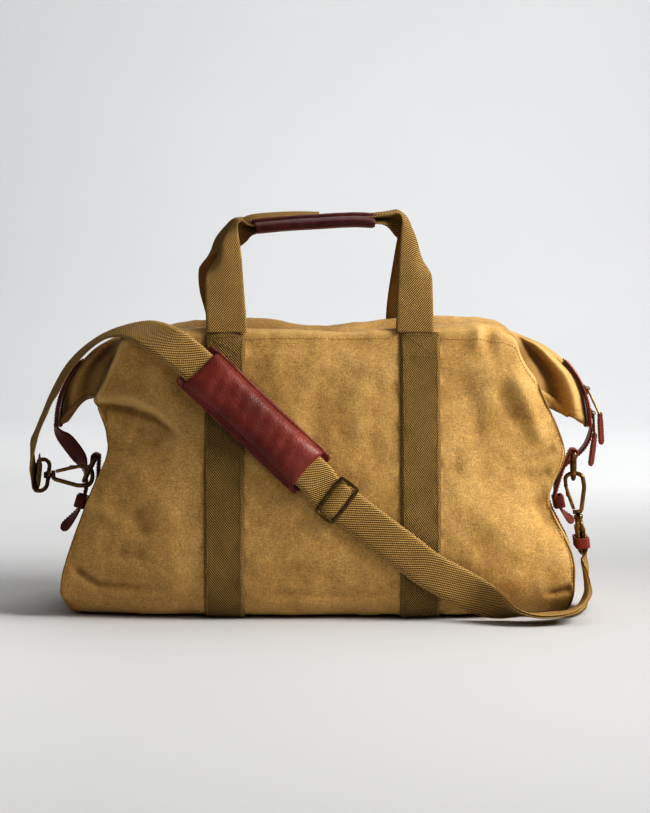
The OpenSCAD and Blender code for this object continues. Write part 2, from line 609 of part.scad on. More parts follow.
adjuster_l = 24;
adjuster_w = 46;
bar_t = 2;
module slide_adjuster() {
    rail_y = adjuster_w / 2 - 1.5;
    bar_z = web_t / 2 + bar_t / 2 + 0.9;
    color(brass_colour) placed(adjuster_at, adjuster_d, adjuster_n) {
        for (sy = [-1, 1]) translate([0, sy * rail_y, 0])
            cube([adjuster_l, 3, 2 * bar_z + bar_t], center = true);
        for (sx = [-1, 1]) translate([sx * (adjuster_l / 2 - 1.8), 0, bar_z])
            cube([3.6, adjuster_w, bar_t], center = true);
        translate([0, 0, -bar_z]) cube([3.6, adjuster_w, bar_t], center = true);
    }
}
module webbing_keeper() {
    color(leather_colour) placed(web_bar_right - 14 * right_d, right_d, right_e)
        loop_band(11, strap_web_w + 6, 14.4, 2);
}

front_panel();
rear_panel();
end_gusset_left();
end_gusset_right();
base_panel();
base_board();
lining_front();
lining_rear();
zip_tape();
zip_coil();
zip_facing_left();
zip_facing_right();
closing_strap_left();
closing_strap_right();
end_strip_left();
end_strip_right();
strap_keeper_left();
strap_keeper_right();
band_front_left();
band_front_right();
band_rear_left();
band_rear_right();
handle_webbing_front();
handle_grip_front();
handle_webbing_rear();
handle_grip_rear();
zip_slider_upper();
zip_pull_upper();
zip_tab_upper();
zip_slider_lower();
zip_pull_lower();
zip_tab_lower();
ring_tab_left();
ring_tab_right();
d_ring_left();
d_ring_right();
hook_left();
hook_right();
hook_gate_left();
hook_gate_right();
swivel_loop_left();
swivel_loop_right();
shoulder_strap();
shoulder_pad();
pad_backing();
slide_adjuster();
webbing_keeper();
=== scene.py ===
"""Weekend duffel bag: the visual model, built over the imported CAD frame.

Shapes are worked out in millimetres in the bag's own frame (+Z up, -Y the front,
origin at the centre of the base) and turned into metres when a mesh is made.
"""
import math

import bpy
import numpy as np
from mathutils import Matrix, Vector, noise


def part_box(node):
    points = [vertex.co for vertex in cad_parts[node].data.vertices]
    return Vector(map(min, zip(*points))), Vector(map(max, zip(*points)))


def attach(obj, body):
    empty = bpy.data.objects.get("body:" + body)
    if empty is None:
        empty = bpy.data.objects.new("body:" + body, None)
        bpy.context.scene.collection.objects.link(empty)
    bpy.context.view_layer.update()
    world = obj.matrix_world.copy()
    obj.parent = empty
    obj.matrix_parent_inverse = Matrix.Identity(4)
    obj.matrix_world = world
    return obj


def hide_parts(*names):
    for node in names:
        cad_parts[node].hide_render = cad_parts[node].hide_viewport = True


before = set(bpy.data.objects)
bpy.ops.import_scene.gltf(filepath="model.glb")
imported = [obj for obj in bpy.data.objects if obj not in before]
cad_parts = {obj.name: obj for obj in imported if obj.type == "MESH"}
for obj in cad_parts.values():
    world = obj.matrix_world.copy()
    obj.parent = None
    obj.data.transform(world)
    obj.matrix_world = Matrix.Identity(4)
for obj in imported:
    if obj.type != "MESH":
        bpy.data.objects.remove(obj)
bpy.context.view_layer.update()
MM = 0.001
# Sizes in millimetres: leather and webbing, and stitches by pitch, length and thread radius.
LEATHER_T, LEATHER_EDGE = 2.3, 1.0
WEBBING_T, HANDLE_WEBBING_T, FOLDED_WEBBING_T, ZIP_TAPE_T = 2.0, 1.9, 1.8, 1.0
SEAM_STITCH, STRIP_STITCH, TAB_STITCH = (3.6, 2.4, 0.3), (3.4, 2.4, 0.33), (3.2, 2.2, 0.32)
FACING_STITCH, PULL_STITCH, PAD_STITCH = (3.2, 2.2, 0.3), (2.8, 1.9, 0.26), (3.8, 2.7, 0.36)


def vec(*values):
    return np.array(values, float)


def unit(v):
    v = np.asarray(v, float)
    return v / np.maximum(np.linalg.norm(v, axis=-1, keepdims=True), 1e-9)


def upright(n, d):
    """The unit vector nearest n that stands square to d."""
    return unit(n - (n @ d) * d)


def squared(x, power):
    """Keeps the sign of x and raises its size to a power, which squares off a circle."""
    return np.sign(x) * np.abs(x) ** power


# ------------------------------------------------------------ camera and light
def make_camera():
    """Level with the grips, 2.5 m in front, tipped 4 degrees down."""
    data = bpy.data.cameras.new("camera")
    data.lens = 106.3
    data.sensor_width = 36
    data.clip_end = 30
    camera = bpy.data.objects.new("camera", data)
    camera.location = (0.002, -2.52, 0.384)
    camera.rotation_euler = (math.radians(86), 0, 0)
    bpy.context.collection.objects.link(camera)
    bpy.context.scene.camera = camera


def area_light(name, place, target, size, power, colour):
    data = bpy.data.lights.new(name, "AREA")
    data.shape = "RECTANGLE"
    data.size, data.size_y = size
    data.energy = power
    data.color = colour
    light = bpy.data.objects.new(name, data)
    light.location = place
    light.rotation_euler = (Vector(target) - Vector(place)).to_track_quat("-Z", "Y").to_euler()
    bpy.context.collection.objects.link(light)


def make_lights():
    area_light("key", (1.5, -0.52, 1.2), (0.1, 0, 0.17), (0.9, 0.9), 40, (1.0, 0.985, 0.965))
    area_light("front", (0.9, -2.1, 1.3), (0.05, 0, 0.2), (1.3, 1.2), 6, (1.0, 0.98, 0.95))
    area_light("top", (0.5, 0.7, 2.2), (0, 0, 0), (1.6, 1.4), 11, (1.0, 0.99, 0.97))
    area_light("fill", (-2.0, -1.2, 1.2), (0, 0, 0.1), (1.6, 1.6), 2.1, (1.0, 0.97, 0.93))
    area_light("backdrop", (0.6, 1.2, 2.6), (0.6, 4.6, 1.5), (3.0, 1.0), 88, (1.0, 1.0, 1.0))
    world = bpy.data.worlds.new("world")
    world.use_nodes = True
    background = world.node_tree.nodes["Background"]
    background.inputs["Color"].default_value = (0.96, 0.97, 1.0, 1)
    background.inputs["Strength"].default_value = 0.13
    bpy.context.scene.world = world


# ------------------------------------------------------------------ materials
class Shader:
    """A short way to build a node material."""

    def __init__(self, name):
        self.material = bpy.data.materials.new(name)
        self.material.use_nodes = True
        self.nodes = self.material.node_tree.nodes
        self.links = self.material.node_tree.links
        self.bsdf = self.nodes["Principled BSDF"]

    def node(self, kind, **settings):
        made = self.nodes.new(kind)
        for key, value in settings.items():
            if key in made.inputs:
                self.connect(made.inputs[key], value)
            else:
                setattr(made, key, value)
        return made

    def connect(self, socket, value):
        if isinstance(value, bpy.types.NodeSocket):
            self.links.new(value, socket)
        else:
            socket.default_value = value

    def math(self, operation, a, b=0.0, c=0.0):
        made = self.nodes.new("ShaderNodeMath")
        made.operation = operation
        for socket, value in zip(made.inputs, (a, b, c)):
            self.connect(socket, value)
        return made.outputs[0]

    def place(self, kind="Object"):
        return self.node("ShaderNodeTexCoord").outputs[kind]

    def stretched(self, vector, scale):
        return self.node("ShaderNodeMapping", Vector=vector, Scale=scale).outputs[0]

    def attribute(self, name):
        return self.node("ShaderNodeAttribute", attribute_name=name).outputs["Fac"]

    def noise(self, vector, scale, detail=4.0, roughness=0.55):
        made = self.node("ShaderNodeTexNoise", Vector=vector, Scale=scale, Detail=detail, Roughness=roughness)
        return made.outputs["Fac"]

    def voronoi(self, vector, scale):
        return self.node("ShaderNodeTexVoronoi", Vector=vector, Scale=scale).outputs["Distance"]

    def ramp(self, factor, stops):
        made = self.nodes.new("ShaderNodeValToRGB")
        self.links.new(factor, made.inputs["Fac"])
        elements = made.color_ramp.elements
        while len(elements) < len(stops):
            elements.new(0.5)
        for element, (place, colour) in zip(elements, stops):
            element.position = place
            element.color = (*colour, 1)
        return made.outputs["Color"]

    def greys(self, factor, *stops):
        return self.ramp(factor, [(place, (value, value, value)) for place, value in stops])

    def mix(self, factor, a, b, blend="MIX"):
        made = self.nodes.new("ShaderNodeMix")
        made.data_type = "RGBA"
        made.blend_type = blend
        sockets = [s for s in made.inputs if s.type == "RGBA"]
        self.connect(made.inputs["Factor"], factor)
        for socket, value in zip(sockets, (a, b)):
            if not isinstance(value, bpy.types.NodeSocket):
                value = (*value, 1)
            self.connect(socket, value)
        return [s for s in made.outputs if s.type == "RGBA"][0]

    def bump(self, height, distance, strength=1.0, under=None):
        made = self.node("ShaderNodeBump", Height=height, Distance=distance, Strength=strength)
        if under is not None:
            self.connect(made.inputs["Normal"], under)
        return made.outputs[0]

    def finish(self, **values):
        for key, value in values.items():
            self.connect(self.bsdf.inputs[key.replace("_", " ")], value)
        return self.material


def toned(shade, *colour):
    return tuple(channel * shade for channel in colour)


def canvas_material(name="canvas", shade=1.0):
    """Waxed cotton canvas: a fine weave with slubs and mottled wax; paler on raised folds, partly rubbed wax and
    partly painted highlight; darker in the hollows and the wings' pockets, which is painted shade.
    """
    s = Shader(name)
    at = s.place()
    warp = s.noise(s.stretched(at, (260, 260, 1300)), 1.0, 2)
    weft = s.noise(s.stretched(at, (1300, 1300, 240)), 1.0, 2)
    slubs = s.math("MULTIPLY", s.math("ADD", warp, weft), 0.5)
    broad = s.noise(at, 6.0, 4, 0.6)
    mottle = s.noise(at, 13.0, 8, 0.72)
    stains = s.noise(at, 70.0, 5, 0.72)
    colour = s.ramp(mottle, [
        (0.30, toned(shade, 0.430, 0.256, 0.083)),
        (0.50, toned(shade, 0.482, 0.298, 0.104)),
        (0.70, toned(shade, 0.540, 0.350, 0.138))])
    colour = s.mix(0.6, colour, s.greys(broad, (0.32, 0.92), (0.68, 1.07)), "MULTIPLY")
    colour = s.mix(s.math("MULTIPLY", s.math("SUBTRACT", stains, 0.48), 0.5), colour,
                   toned(shade, 0.33, 0.17, 0.042))
    threads = s.greys(slubs, (0.34, 0.68), (0.50, 1.0), (0.66, 1.28))
    colour = s.mix(0.9, colour, threads, "MULTIPLY")
    flecks = s.greys(s.noise(at, 560, 2, 0.7), (0.34, 0.80), (0.5, 1.0), (0.66, 1.18))
    colour = s.mix(0.8, colour, flecks, "MULTIPLY")
    # Paler on raised folds: partly rubbed wax, partly painted highlight.
    wear = s.attribute("wear")
    colour = s.mix(s.math("MULTIPLY", wear, 0.55), colour, toned(shade, 0.62, 0.42, 0.18))
    # Painted shade: darker in the hollows, in the wings' pockets and just behind their creases.
    soil = s.attribute("soil")
    colour = s.mix(s.math("MULTIPLY", soil, 0.8), colour, toned(shade, 0.135, 0.062, 0.014))
    waves = [s.node("ShaderNodeTexWave", bands_direction=way, Vector=at, Scale=430, Distortion=1.4)
             for way in ("X", "Z")]
    for wave in waves:
        wave.inputs["Detail Scale"].default_value = 2.5
    weave = s.math("MULTIPLY", *(wave.outputs["Fac"] for wave in waves))
    normal = s.bump(weave, 0.0002, 0.4)
    normal = s.bump(slubs, 0.0009, 0.6, normal)
    normal = s.bump(s.noise(at, 60, 4), 0.0016, 0.35, normal)
    normal = s.bump(s.noise(at, 24, 3), 0.003, 0.12, normal)
    return s.finish(Base_Color=colour, Roughness=s.math("MULTIPLY_ADD", mottle, 0.14, 0.68), Normal=normal,
                    Specular_IOR_Level=0.26, Sheen_Weight=0.12, Sheen_Roughness=0.4)


def webbing_material(name="webbing", shade=1.0):
    """Heavy cotton twill tape. UV runs in metres: U along the tape, V across it from its middle."""
    s = Shader(name)
    uv = s.place("UV")
    split = s.node("ShaderNodeSeparateXYZ", Vector=uv)
    u, v = split.outputs["X"], split.outputs["Y"]
    pitch = 2 * math.pi / 0.0029
    across = s.math("MULTIPLY", v, 1.25)
    diagonal = s.math("SINE", s.math("MULTIPLY", s.math("ADD", u, across), pitch))
    picks = s.math("SINE", s.math("MULTIPLY", s.math("SUBTRACT", u, across), pitch * 0.9))
    ribs = s.math("MULTIPLY_ADD", diagonal, 0.44, 0.5)
    ribs = s.math("MULTIPLY_ADD", picks, 0.13, ribs)
    fuzz = s.noise(s.stretched(uv, (900, 900, 1)), 1.0, 3)
    height = s.math("MULTIPLY_ADD", fuzz, 0.35, s.math("SUBTRACT", ribs, 0.17))
    patches = s.noise(s.place(), 26, 3)
    colour = s.ramp(height, [
        (0.12, toned(shade, 0.055, 0.028, 0.007)),
        (0.48, toned(shade, 0.275, 0.160, 0.050)),
        (0.88, toned(shade, 0.600, 0.400, 0.150))])
    colour = s.mix(0.6, colour, s.greys(patches, (0.3, 0.86), (0.7, 1.12)), "MULTIPLY")
    edge = s.math("GREATER_THAN", s.math("ABSOLUTE", v), s.attribute("edge"))
    dash = s.math("MULTIPLY_ADD", s.math("SINE", s.math("MULTIPLY", u, 2 * math.pi / 0.0036)), 0.4, 0.55)
    colour = s.mix(s.math("MULTIPLY", edge, dash), colour, toned(shade, 0.44, 0.29, 0.115))
    normal = s.bump(height, 0.0009, 1.0)
    return s.finish(Base_Color=colour, Roughness=0.85, Normal=normal, Specular_IOR_Level=0.12,
                    Sheen_Weight=0.04, Sheen_Roughness=0.5)


def leather_material(name="leather", shade=1.0):
    """Oxblood waxed leather: pebbled grain, soft gloss, darker hollows and worn edges."""
    s = Shader(name)
    at = s.place()
    warp = s.noise(at, 30, 3)
    cells = s.voronoi(at, 620)
    fine = s.noise(at, 900, 3)
    pull = s.noise(at, 22, 5, 0.62)
    colour = s.ramp(pull, [
        (0.28, toned(shade, 0.060, 0.0075, 0.0055)),
        (0.52, toned(shade, 0.128, 0.018, 0.0125)),
        (0.76, toned(shade, 0.215, 0.044, 0.030))])
    colour = s.mix(0.5, colour, s.greys(cells, (0.1, 1.12), (0.75, 0.82)), "MULTIPLY")
    wear = s.attribute("wear")
    colour = s.mix(s.math("MULTIPLY", wear, 0.6), colour, toned(shade, 0.27, 0.070, 0.044))
    normal = s.bump(cells, 0.0007, 0.4)
    normal = s.bump(fine, 0.0003, 0.4, normal)
    normal = s.bump(warp, 0.003, 0.4, normal)
    normal = s.bump(s.noise(s.stretched(at, (60, 60, 160)), 1.0, 3), 0.0012, 0.4, normal)
    return s.finish(Base_Color=colour, Roughness=s.math("MULTIPLY_ADD", fine, 0.22, 0.30), Normal=normal,
                    Specular_IOR_Level=0.36, Coat_Weight=0.06, Coat_Roughness=0.28)


def brass_material(name="antique_brass", shade=1.0):
    """Antiqued brass: dark patina rubbed through to warmer metal."""
    s = Shader(name)
    at = s.place()
    patina = s.noise(at, 160, 5, 0.7)
    scratches = s.noise(s.stretched(at, (2500, 300, 300)), 1.0, 2)
    colour = s.ramp(patina, [
        (0.30, toned(shade, 0.085, 0.052, 0.020)),
        (0.55, toned(shade, 0.230, 0.150, 0.060)),
        (0.75, toned(shade, 0.440, 0.310, 0.135))])
    rough = s.math("MULTIPLY_ADD", patina, -0.25, 0.5)
    normal = s.bump(scratches, 0.0001, 0.3)
    normal = s.bump(patina, 0.0003, 0.3, normal)
    return s.finish(Base_Color=colour, Metallic=1.0, Roughness=rough, Normal=normal)


def cloth_tape_material(name, colour_a, colour_b, threads):
    """A plain woven tape or lining."""
    s = Shader(name)
    at = s.place()
    lines = s.noise(s.stretched(at, (threads, threads * 0.1, threads)), 1.0, 2)
    mottled = s.noise(at, 25, 3)
    colour = s.mix(lines, colour_a, colour_b)
    colour = s.mix(0.5, colour, s.greys(mottled, (0.3, 0.8), (0.7, 1.15)), "MULTIPLY")
    return s.finish(Base_Color=colour, Roughness=0.85, Normal=s.bump(lines, 0.0003, 0.6))


def thread_material(name, colour):
    """Twisted sewing thread."""
    s = Shader(name)
    at = s.place()
    ply = s.noise(at, 1800, 2)
    shade = s.ramp(ply, [(0.3, tuple(c * 0.7 for c in colour)), (0.7, tuple(min(c * 1.2, 1) for c in colour))])
    return s.finish(Base_Color=shade, Roughness=0.6, Normal=s.bump(ply, 0.0002, 0.5))


def floor_material():
    """The studio floor: a soft grey with painted light and shade, lighter on the left where the bag's shadow falls
    and darker towards the near right.
    """
    s = Shader("studio_floor")
    at = s.place()
    tone = s.ramp(s.noise(at, 1.2, 2), [(0.3, (0.66, 0.665, 0.67)), (0.7, (0.68, 0.685, 0.69))])
    split = s.node("ShaderNodeSeparateXYZ", Vector=at)
    # Painted light and shade across the floor: lifted on the left, darker on the right against the key light's
    # glare, fading out towards the backdrop.
    right = s.greys(s.math("MULTIPLY_ADD", split.outputs["X"], 0.6, 0.5),
                    (0.15, 1.30), (0.40, 0.96), (0.62, 0.76), (0.85, 0.53))
    near = s.greys(s.math("MULTIPLY_ADD", split.outputs["Y"], 0.4, 0.5), (0.62, 1.0), (0.98, 0.0))
    tone = s.mix(near, tone, s.mix(1.0, tone, right, "MULTIPLY"))
    return s.finish(Base_Color=tone, Roughness=0.75, Normal=s.bump(s.noise(at, 300, 2), 0.0004, 0.1))


def make_stage():
    """A pale floor that sweeps up into the backdrop."""
    rows = []
    for k in range(49):
        s = k / 48
        if s < 0.5:
            y, z = -4.5 + 14 * s, 0.0
        else:
            a = (s - 0.5) * math.pi
            y, z = 2.5 + 2.4 * math.sin(a), 2.4 * (1 - math.cos(a))
        rows.append((y, z))
    rows.append((4.9, 6.0))
    points = [(x, y, z) for y, z in rows for x in (-7.0, 7.0)]
    faces = [(2 * k, 2 * k + 1, 2 * k + 3, 2 * k + 2) for k in range(len(rows) - 1)]
    mesh = bpy.data.meshes.new("studio_floor")
    mesh.from_pydata(points, [], faces)
    mesh.shade_smooth()
    mesh.materials.append(floor_material())
    floor = bpy.data.objects.new("studio_floor", mesh)
    bpy.context.collection.objects.link(floor)


# ------------------------------------------------------- curves and surfaces
def cubic(a, b, c, d, t):
    return 0.5 * (2 * b + (c - a) * t + (2 * a - 5 * b + 4 * c - d) * t ** 2 + (3 * b - a - 3 * c + d) * t ** 3)


def extended(points):
    p = np.asarray(points, float)
    return np.concatenate([[2 * p[0] - p[1]], p, [2 * p[-1] - p[-2]]])


def along(points, u):
    """A smooth curve through the points; u counts the spans."""
    ends = extended(points)
    spans = len(ends) - 3
    u = np.clip(np.asarray(u, float), 0, spans)
    i = np.minimum(u.astype(int), spans - 1)
    t = (u - i)
    if ends.ndim > 1:
        t = t[..., None]
    return cubic(ends[i], ends[i + 1], ends[i + 2], ends[i + 3], t)


def surface(net, u, v):
    """The smooth surface through a net, with u across its columns and v down its rows."""
    u, v = np.broadcast_arrays(np.asarray(u, float), np.asarray(v, float))
    rows = extended(np.stack([along(row, u) for row in np.asarray(net, float)]))
    spans = len(rows) - 3
    v = np.clip(v, 0, spans)
    i = np.minimum(v.astype(int), spans - 1)
    pick = [np.take_along_axis(rows, (i + k)[None, ..., None], 0)[0] for k in range(4)]
    return cubic(*pick, (v - i)[..., None])


def normals_of(net, u, v, sign):
    e = 0.03
    across = surface(net, u + e, v) - surface(net, u - e, v)
    down = surface(net, u, v + e) - surface(net, u, v - e)
    return sign * unit(np.cross(across, down))


def lengths(points):
    steps = np.linalg.norm(np.diff(points, axis=0), axis=1)
    return np.concatenate([[0], np.cumsum(steps)])


def evenly(points, n, *others):
    """n points evenly spaced along a polyline, and other lists carried along."""
    s = lengths(points)
    at = np.linspace(0, s[-1], n)
    pull = lambda values: np.stack([np.interp(at, s, column) for column in np.asarray(values, float).T], axis=-1)
    return [pull(values) for values in (points, *others)]


def smoothstep(a, b, x):
    t = np.clip((x - a) / (b - a), 0, 1)
    return t * t * (3 - 2 * t)


def bell(x, width):
    return np.exp(-(x / width) ** 2)


# ----------------------------------------------------------------- mesh tools
def add_piece(name, points, faces, material, body, replaced=(), slot=None, uv=None, **painted):
    """A mesh from millimetre points, with its material, body, painted values and the CAD nodes it replaces."""
    mesh = bpy.data.meshes.new(name)
    mesh.from_pydata((np.asarray(points, float) * MM).tolist(), [], [list(map(int, f)) for f in faces])
    mesh.validate()
    mesh.shade_smooth()
    mesh.materials.append(material)
    if uv is not None:
        layer = mesh.uv_layers.new(name="UVMap")
        corner = np.empty(len(mesh.loops), int)
        mesh.loops.foreach_get("vertex_index", corner)
        layer.data.foreach_set("uv", (np.asarray(uv, float)[corner] * MM).ravel())
    for label, values in painted.items():
        attribute = mesh.attributes.new(label, "FLOAT", "POINT")
        attribute.data.foreach_set("value", np.broadcast_to(values, len(mesh.vertices)).astype(float))
    piece = bpy.data.objects.new(name, mesh)
    bpy.context.collection.objects.link(piece)
    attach(piece, body)
    if replaced:
        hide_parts(*replaced)
    return piece


def grid_faces(n, m, start=0, wrap=False, flip=False):
    """Quads of a grid of n rows and m columns; wrap joins the last column to the first."""
    i, j = np.meshgrid(np.arange(n - 1), np.arange(m if wrap else m - 1), indexing="ij")
    k = (j + 1) % m
    quads = np.stack([i * m + j, i * m + k, (i + 1) * m + k, (i + 1) * m + j], -1).reshape(-1, 4) + start
    return quads[:, ::-1] if flip else quads


def grid_rim(n, m):
    """The border points of a grid of n rows and m columns, in order."""
    return np.concatenate([np.arange(m), np.arange(1, n) * m + m - 1,
                           (n - 1) * m + np.arange(m - 2, -1, -1), np.arange(n - 2, 0, -1) * m])


class Bundle:
    """Several closed or open shapes gathered into one mesh."""

    def __init__(self):
        self.points, self.faces, self.uv, self.wear, self.count = [], [], [], [], 0

    def add(self, points, faces, uv=None, wear=0.0):
        points = np.asarray(points, float).reshape(-1, 3)
        self.points.append(points)
        self.faces.extend((np.asarray(f) + self.count) for f in faces)
        self.uv.append(np.zeros((len(points), 2)) if uv is None else np.asarray(uv, float).reshape(-1, 2))
        self.wear.append(np.broadcast_to(wear, len(points)))
        self.count += len(points)

    def tube(self, points, radius, sides=12, closed=False, up=None):
        """Round wire along points. The radius may be a list."""
        p = np.asarray(points, float)
        n = len(p)
        tangent = unit(np.roll(p, -1, 0) - np.roll(p, 1, 0)) if closed else unit(np.gradient(p, axis=0))
        r = np.broadcast_to(radius, n)[:, None, None]
        if up is None:
            up = vec(0, 0, 1) if abs(tangent[0][2]) < 0.9 else vec(1, 0, 0)
            frames = [unit(np.cross(tangent[0], up))]
            for t in tangent[1:]:
                last = frames[-1]
                frames.append(unit(last - t * np.dot(last, t)))
            side = np.array(frames)
        else:
            side = unit(np.cross(tangent, up))
        other = np.cross(side, tangent)
        a = np.linspace(0, 2 * math.pi, sides, endpoint=False)
        ring = p[:, None] + r * (np.cos(a)[None, :, None] * side[:, None]
                                 + np.sin(a)[None, :, None] * other[:, None])
        if closed:
            faces = grid_faces(n + 1, sides, 0, True) % (n * sides)
            self.add(ring, faces)
        else:
            caps = [list(range(sides))[::-1], [(n - 1) * sides + k for k in range(sides)]]
            self.add(ring, list(grid_faces(n, sides, 0, True)) + caps)

    def make(self, name, material, body, **more):
        return add_piece(name, np.concatenate(self.points), self.faces, material, body,
                         uv=np.concatenate(self.uv), wear=np.concatenate(self.wear), **more)


def strap_shell(centre, normals, thickness, edge_round=0.9):
    """A closed tape from its middle sheet (rows x across) and that sheet's normals, edges rounded."""
    n, m = centre.shape[:2]
    across = np.concatenate([np.zeros((n, 1)), np.cumsum(
        np.linalg.norm(np.diff(centre, axis=1), axis=2), axis=1)], axis=1)
    width = across[:, -1:]
    inset = np.clip(np.minimum(across, width - across) / edge_round, 0, 1)
    half = 0.5 * thickness * np.sqrt(np.clip(1 - (1 - inset) ** 2, 0.02, 1))[..., None]
    top, low = centre + normals * half, centre - normals * half
    s = np.concatenate([[0], np.cumsum(np.linalg.norm(np.diff(centre[:, m // 2], axis=0), axis=1))])
    uv = np.stack([np.broadcast_to(s[:, None], (n, m)), across - width / 2], -1)
    ring = np.concatenate([top, low[:, ::-1]], axis=1)
    ring_uv = np.concatenate([uv, uv[:, ::-1]], axis=1)
    faces = list(grid_faces(n, 2 * m, 0, True))
    faces.append(list(range(2 * m))[::-1])
    faces.append([(n - 1) * 2 * m + k for k in range(2 * m)])
    return ring.reshape(-1, 3), faces, ring_uv.reshape(-1, 2)


def tape_grid(points, normals, width, n, m=9, crown=0.0):
    """The middle sheet of a tape along control points, and its normals."""
    spans = len(points) - 1
    u = np.linspace(0, spans, n)
    centre = along(points, u)
    tangent = unit(along(points, np.minimum(u + 0.02, spans)) - along(points, np.maximum(u - 0.02, 0)))
    face = along(normals, u)
    face = unit(face - tangent * np.sum(face * tangent, -1, keepdims=True))
    side = np.cross(tangent, face)
    w = along(width, u)[:, None, None] if np.ndim(width) else width
    s = np.linspace(-0.5, 0.5, m)[None, :, None]
    grid = centre[:, None] + side[:, None] * s * w - face[:, None] * crown * (2 * s) ** 2
    return grid, np.broadcast_to(face[:, None], grid.shape)


def add_tape(name, centre, normals, thickness, material, body, edge_from=2.4, **more):
    points, faces, uv = strap_shell(centre, normals, thickness)
    half = np.linalg.norm(np.diff(centre, axis=1), axis=2).sum(axis=1).max() / 2
    return add_piece(name, points, faces, material, body, uv=uv, edge=(half - edge_from) * MM, wear=0.0, **more)


def stitches(bundle, path, normals, pitch=3.2, length=2.2, radius=0.36, lift=0.15):
    """Thread stitches along a path: short arched cords that dip into the cloth at both ends."""
    path, normals = np.asarray(path, float), np.asarray(normals, float)
    total = lengths(path)[-1]
    count = max(int(total / pitch), 1)
    s = lengths(path)
    pull = lambda values, at: np.stack([np.interp(at, s, c) for c in values.T], -1)
    start = (np.arange(count) + 0.5) * total / count
    rings = []
    for k, rise, thin in ((-0.5, -0.5, 0.6), (-0.3, 0.6, 1.0), (0, 0.9, 1.0), (0.3, 0.6, 1.0), (0.5, -0.5, 0.6)):
        at = start + k * length
        p, n = pull(path, at), unit(pull(normals, at))
        t = unit(pull(path, at + 0.3) - pull(path, at - 0.3))
        b = np.cross(t, n)
        p = p + n * (lift + rise * radius)
        a = np.linspace(0, 2 * math.pi, 6, endpoint=False)
        rings.append(p[:, None] + radius * thin * (np.cos(a)[None, :, None] * b[:, None]
                                                   + np.sin(a)[None, :, None] * n[:, None]))
    rings = np.stack(rings, 1)
    one = list(grid_faces(5, 6, 0, True)) + [np.arange(6)[::-1], 24 + np.arange(6)]
    for block in rings:
        bundle.add(block, one)


# ------------------------------------------------------------- the bag's form
CENTRE_Y = [0, -86, -117, -127, -127, -119, -104]
CENTRE_Z = [3, 3, 13, 52, 108, 168, 228]
COLUMN_X = [0, 70, 130, 172]
COLUMN_SHARE = [0.36, 0.64, 0.85]
CREST_FRONT = [[0, -84, 288], [70, -85, 289], [130, -85, 289], [172, -82, 288]]
CREST_REAR = [[0, -84, 287], [70, -85, 296], [130, -85, 296], [172, -82, 291]]
TOP_MID = [[0, -44, 280], [70, -45, 286], [130, -45, 292], [172, -42, 292]]
ZIP_LINE = [[0, -5, 276], [70, -5, 284], [130, -5, 292], [172, -5, 292]]
LEFT_SINK = [0, 0, 3, 6]
RIDGE_R = 96
RIDGE_CENTRE = (183, 190)
RIDGE_ROW = [[183 + RIDGE_R * math.cos(math.radians(a)), -5, 190 + RIDGE_R * math.sin(math.radians(a))]
             for a in (72, 50, 26, -2)]
SEAM_LEFT = [[254, 0, 4], [254, -72, 4], [261, -94, 13], [266, -102, 30],
             [258, -100, 66], [236, -90, 126], [219, -80, 170], [232, -72, 216]]
WING_LEFT = [[[202, -78, 279], [213, -77, 259], [223, -75, 237], [232, -72, 216]],
             [[208, -36, 281], [232, -36, 264], [247, -36, 244], [254, -34, 221]], RIDGE_ROW]
GUSSET_LEFT = [[258, 0, 4], [258, 0, 4], [267, 0, 13], [273, 0, 30], [258, 0, 68],
               [231, 0, 126], [221, 0, 170], [216, 0, 210], [247, 0, 214], [268, 0, 192]]
SEAM_RIGHT = [[246, 0, 4], [246, -72, 4], [252, -94, 13], [255, -102, 32],
              [253, -98, 64], [230, -86, 119], [246, -82, 168], [220, -74, 236]]
WING_RIGHT = [[[195, -79, 282], [202, -78, 266], [210, -77, 250], [220, -74, 236]],
              [[204, -34, 284], [224, -34, 266], [240, -36, 242], [249, -32, 209]], RIDGE_ROW]
GUSSET_RIGHT = [[250, 0, 4], [250, 0, 4], [257, 0, 13], [262, 0, 32], [258, 0, 64],
                [235, 0, 116], [238, 0, 166], [212, 0, 222], [236, 0, 222], [268, 0, 192]]


def mixed(a, b, t):
    return a * (1 - t) + b * t


def lower_point(seam, column, row):
    if column == 7:
        return list(seam[row])
    x = COLUMN_X[column] if column < 4 else mixed(COLUMN_X[3], seam[row][0], COLUMN_SHARE[column - 4])
    w = (x / seam[row][0]) ** 2.6
    return [x, mixed(CENTRE_Y[row], seam[row][1], w), mixed(CENTRE_Z[row], seam[row][2], w)]


def side_point(seam, wing, crest, sink, column, row):
    if row < 7:
        return lower_point(seam, column, row)
    if column > 3:
        return list(wing[row - 7][column - 4])
    x, y, z = (crest, TOP_MID, ZIP_LINE)[row - 7][column]
    return [x, y, z - sink[column]]


def body_net(crest):
    rows = []
    for row in range(10):
        left = [side_point(SEAM_LEFT, WING_LEFT, crest, LEFT_SINK, c, row) for c in range(7, 0, -1)]
        right = [side_point(SEAM_RIGHT, WING_RIGHT, crest, [0] * 4, c, row) for c in range(8)]
        rows.append([[-x, y, z] for x, y, z in left] + right)
    return np.array(rows)


def gusset_net(seam, wing, centre, s):
    rows = []
    for row in range(10):
        edge = seam[row] if row < 7 else wing[row - 7][3]
        mid = centre[row]
        half = [mixed(edge[0], mid[0], 0.62), edge[1] * 0.5, mixed(edge[2], mid[2], 0.62)]
        rows.append([edge, half, mid, [half[0], -half[1], half[2]], [edge[0], -edge[1], edge[2]]])
    return np.array(rows, float) * vec(s, 1, 1)


FRONT_NET = body_net(CREST_FRONT)
REAR_NET = body_net(CREST_REAR) * vec(1, -1, 1)
LEFT_NET = gusset_net(SEAM_LEFT, WING_LEFT, GUSSET_LEFT, -1)
RIGHT_NET = gusset_net(SEAM_RIGHT, WING_RIGHT, GUSSET_RIGHT, 1)


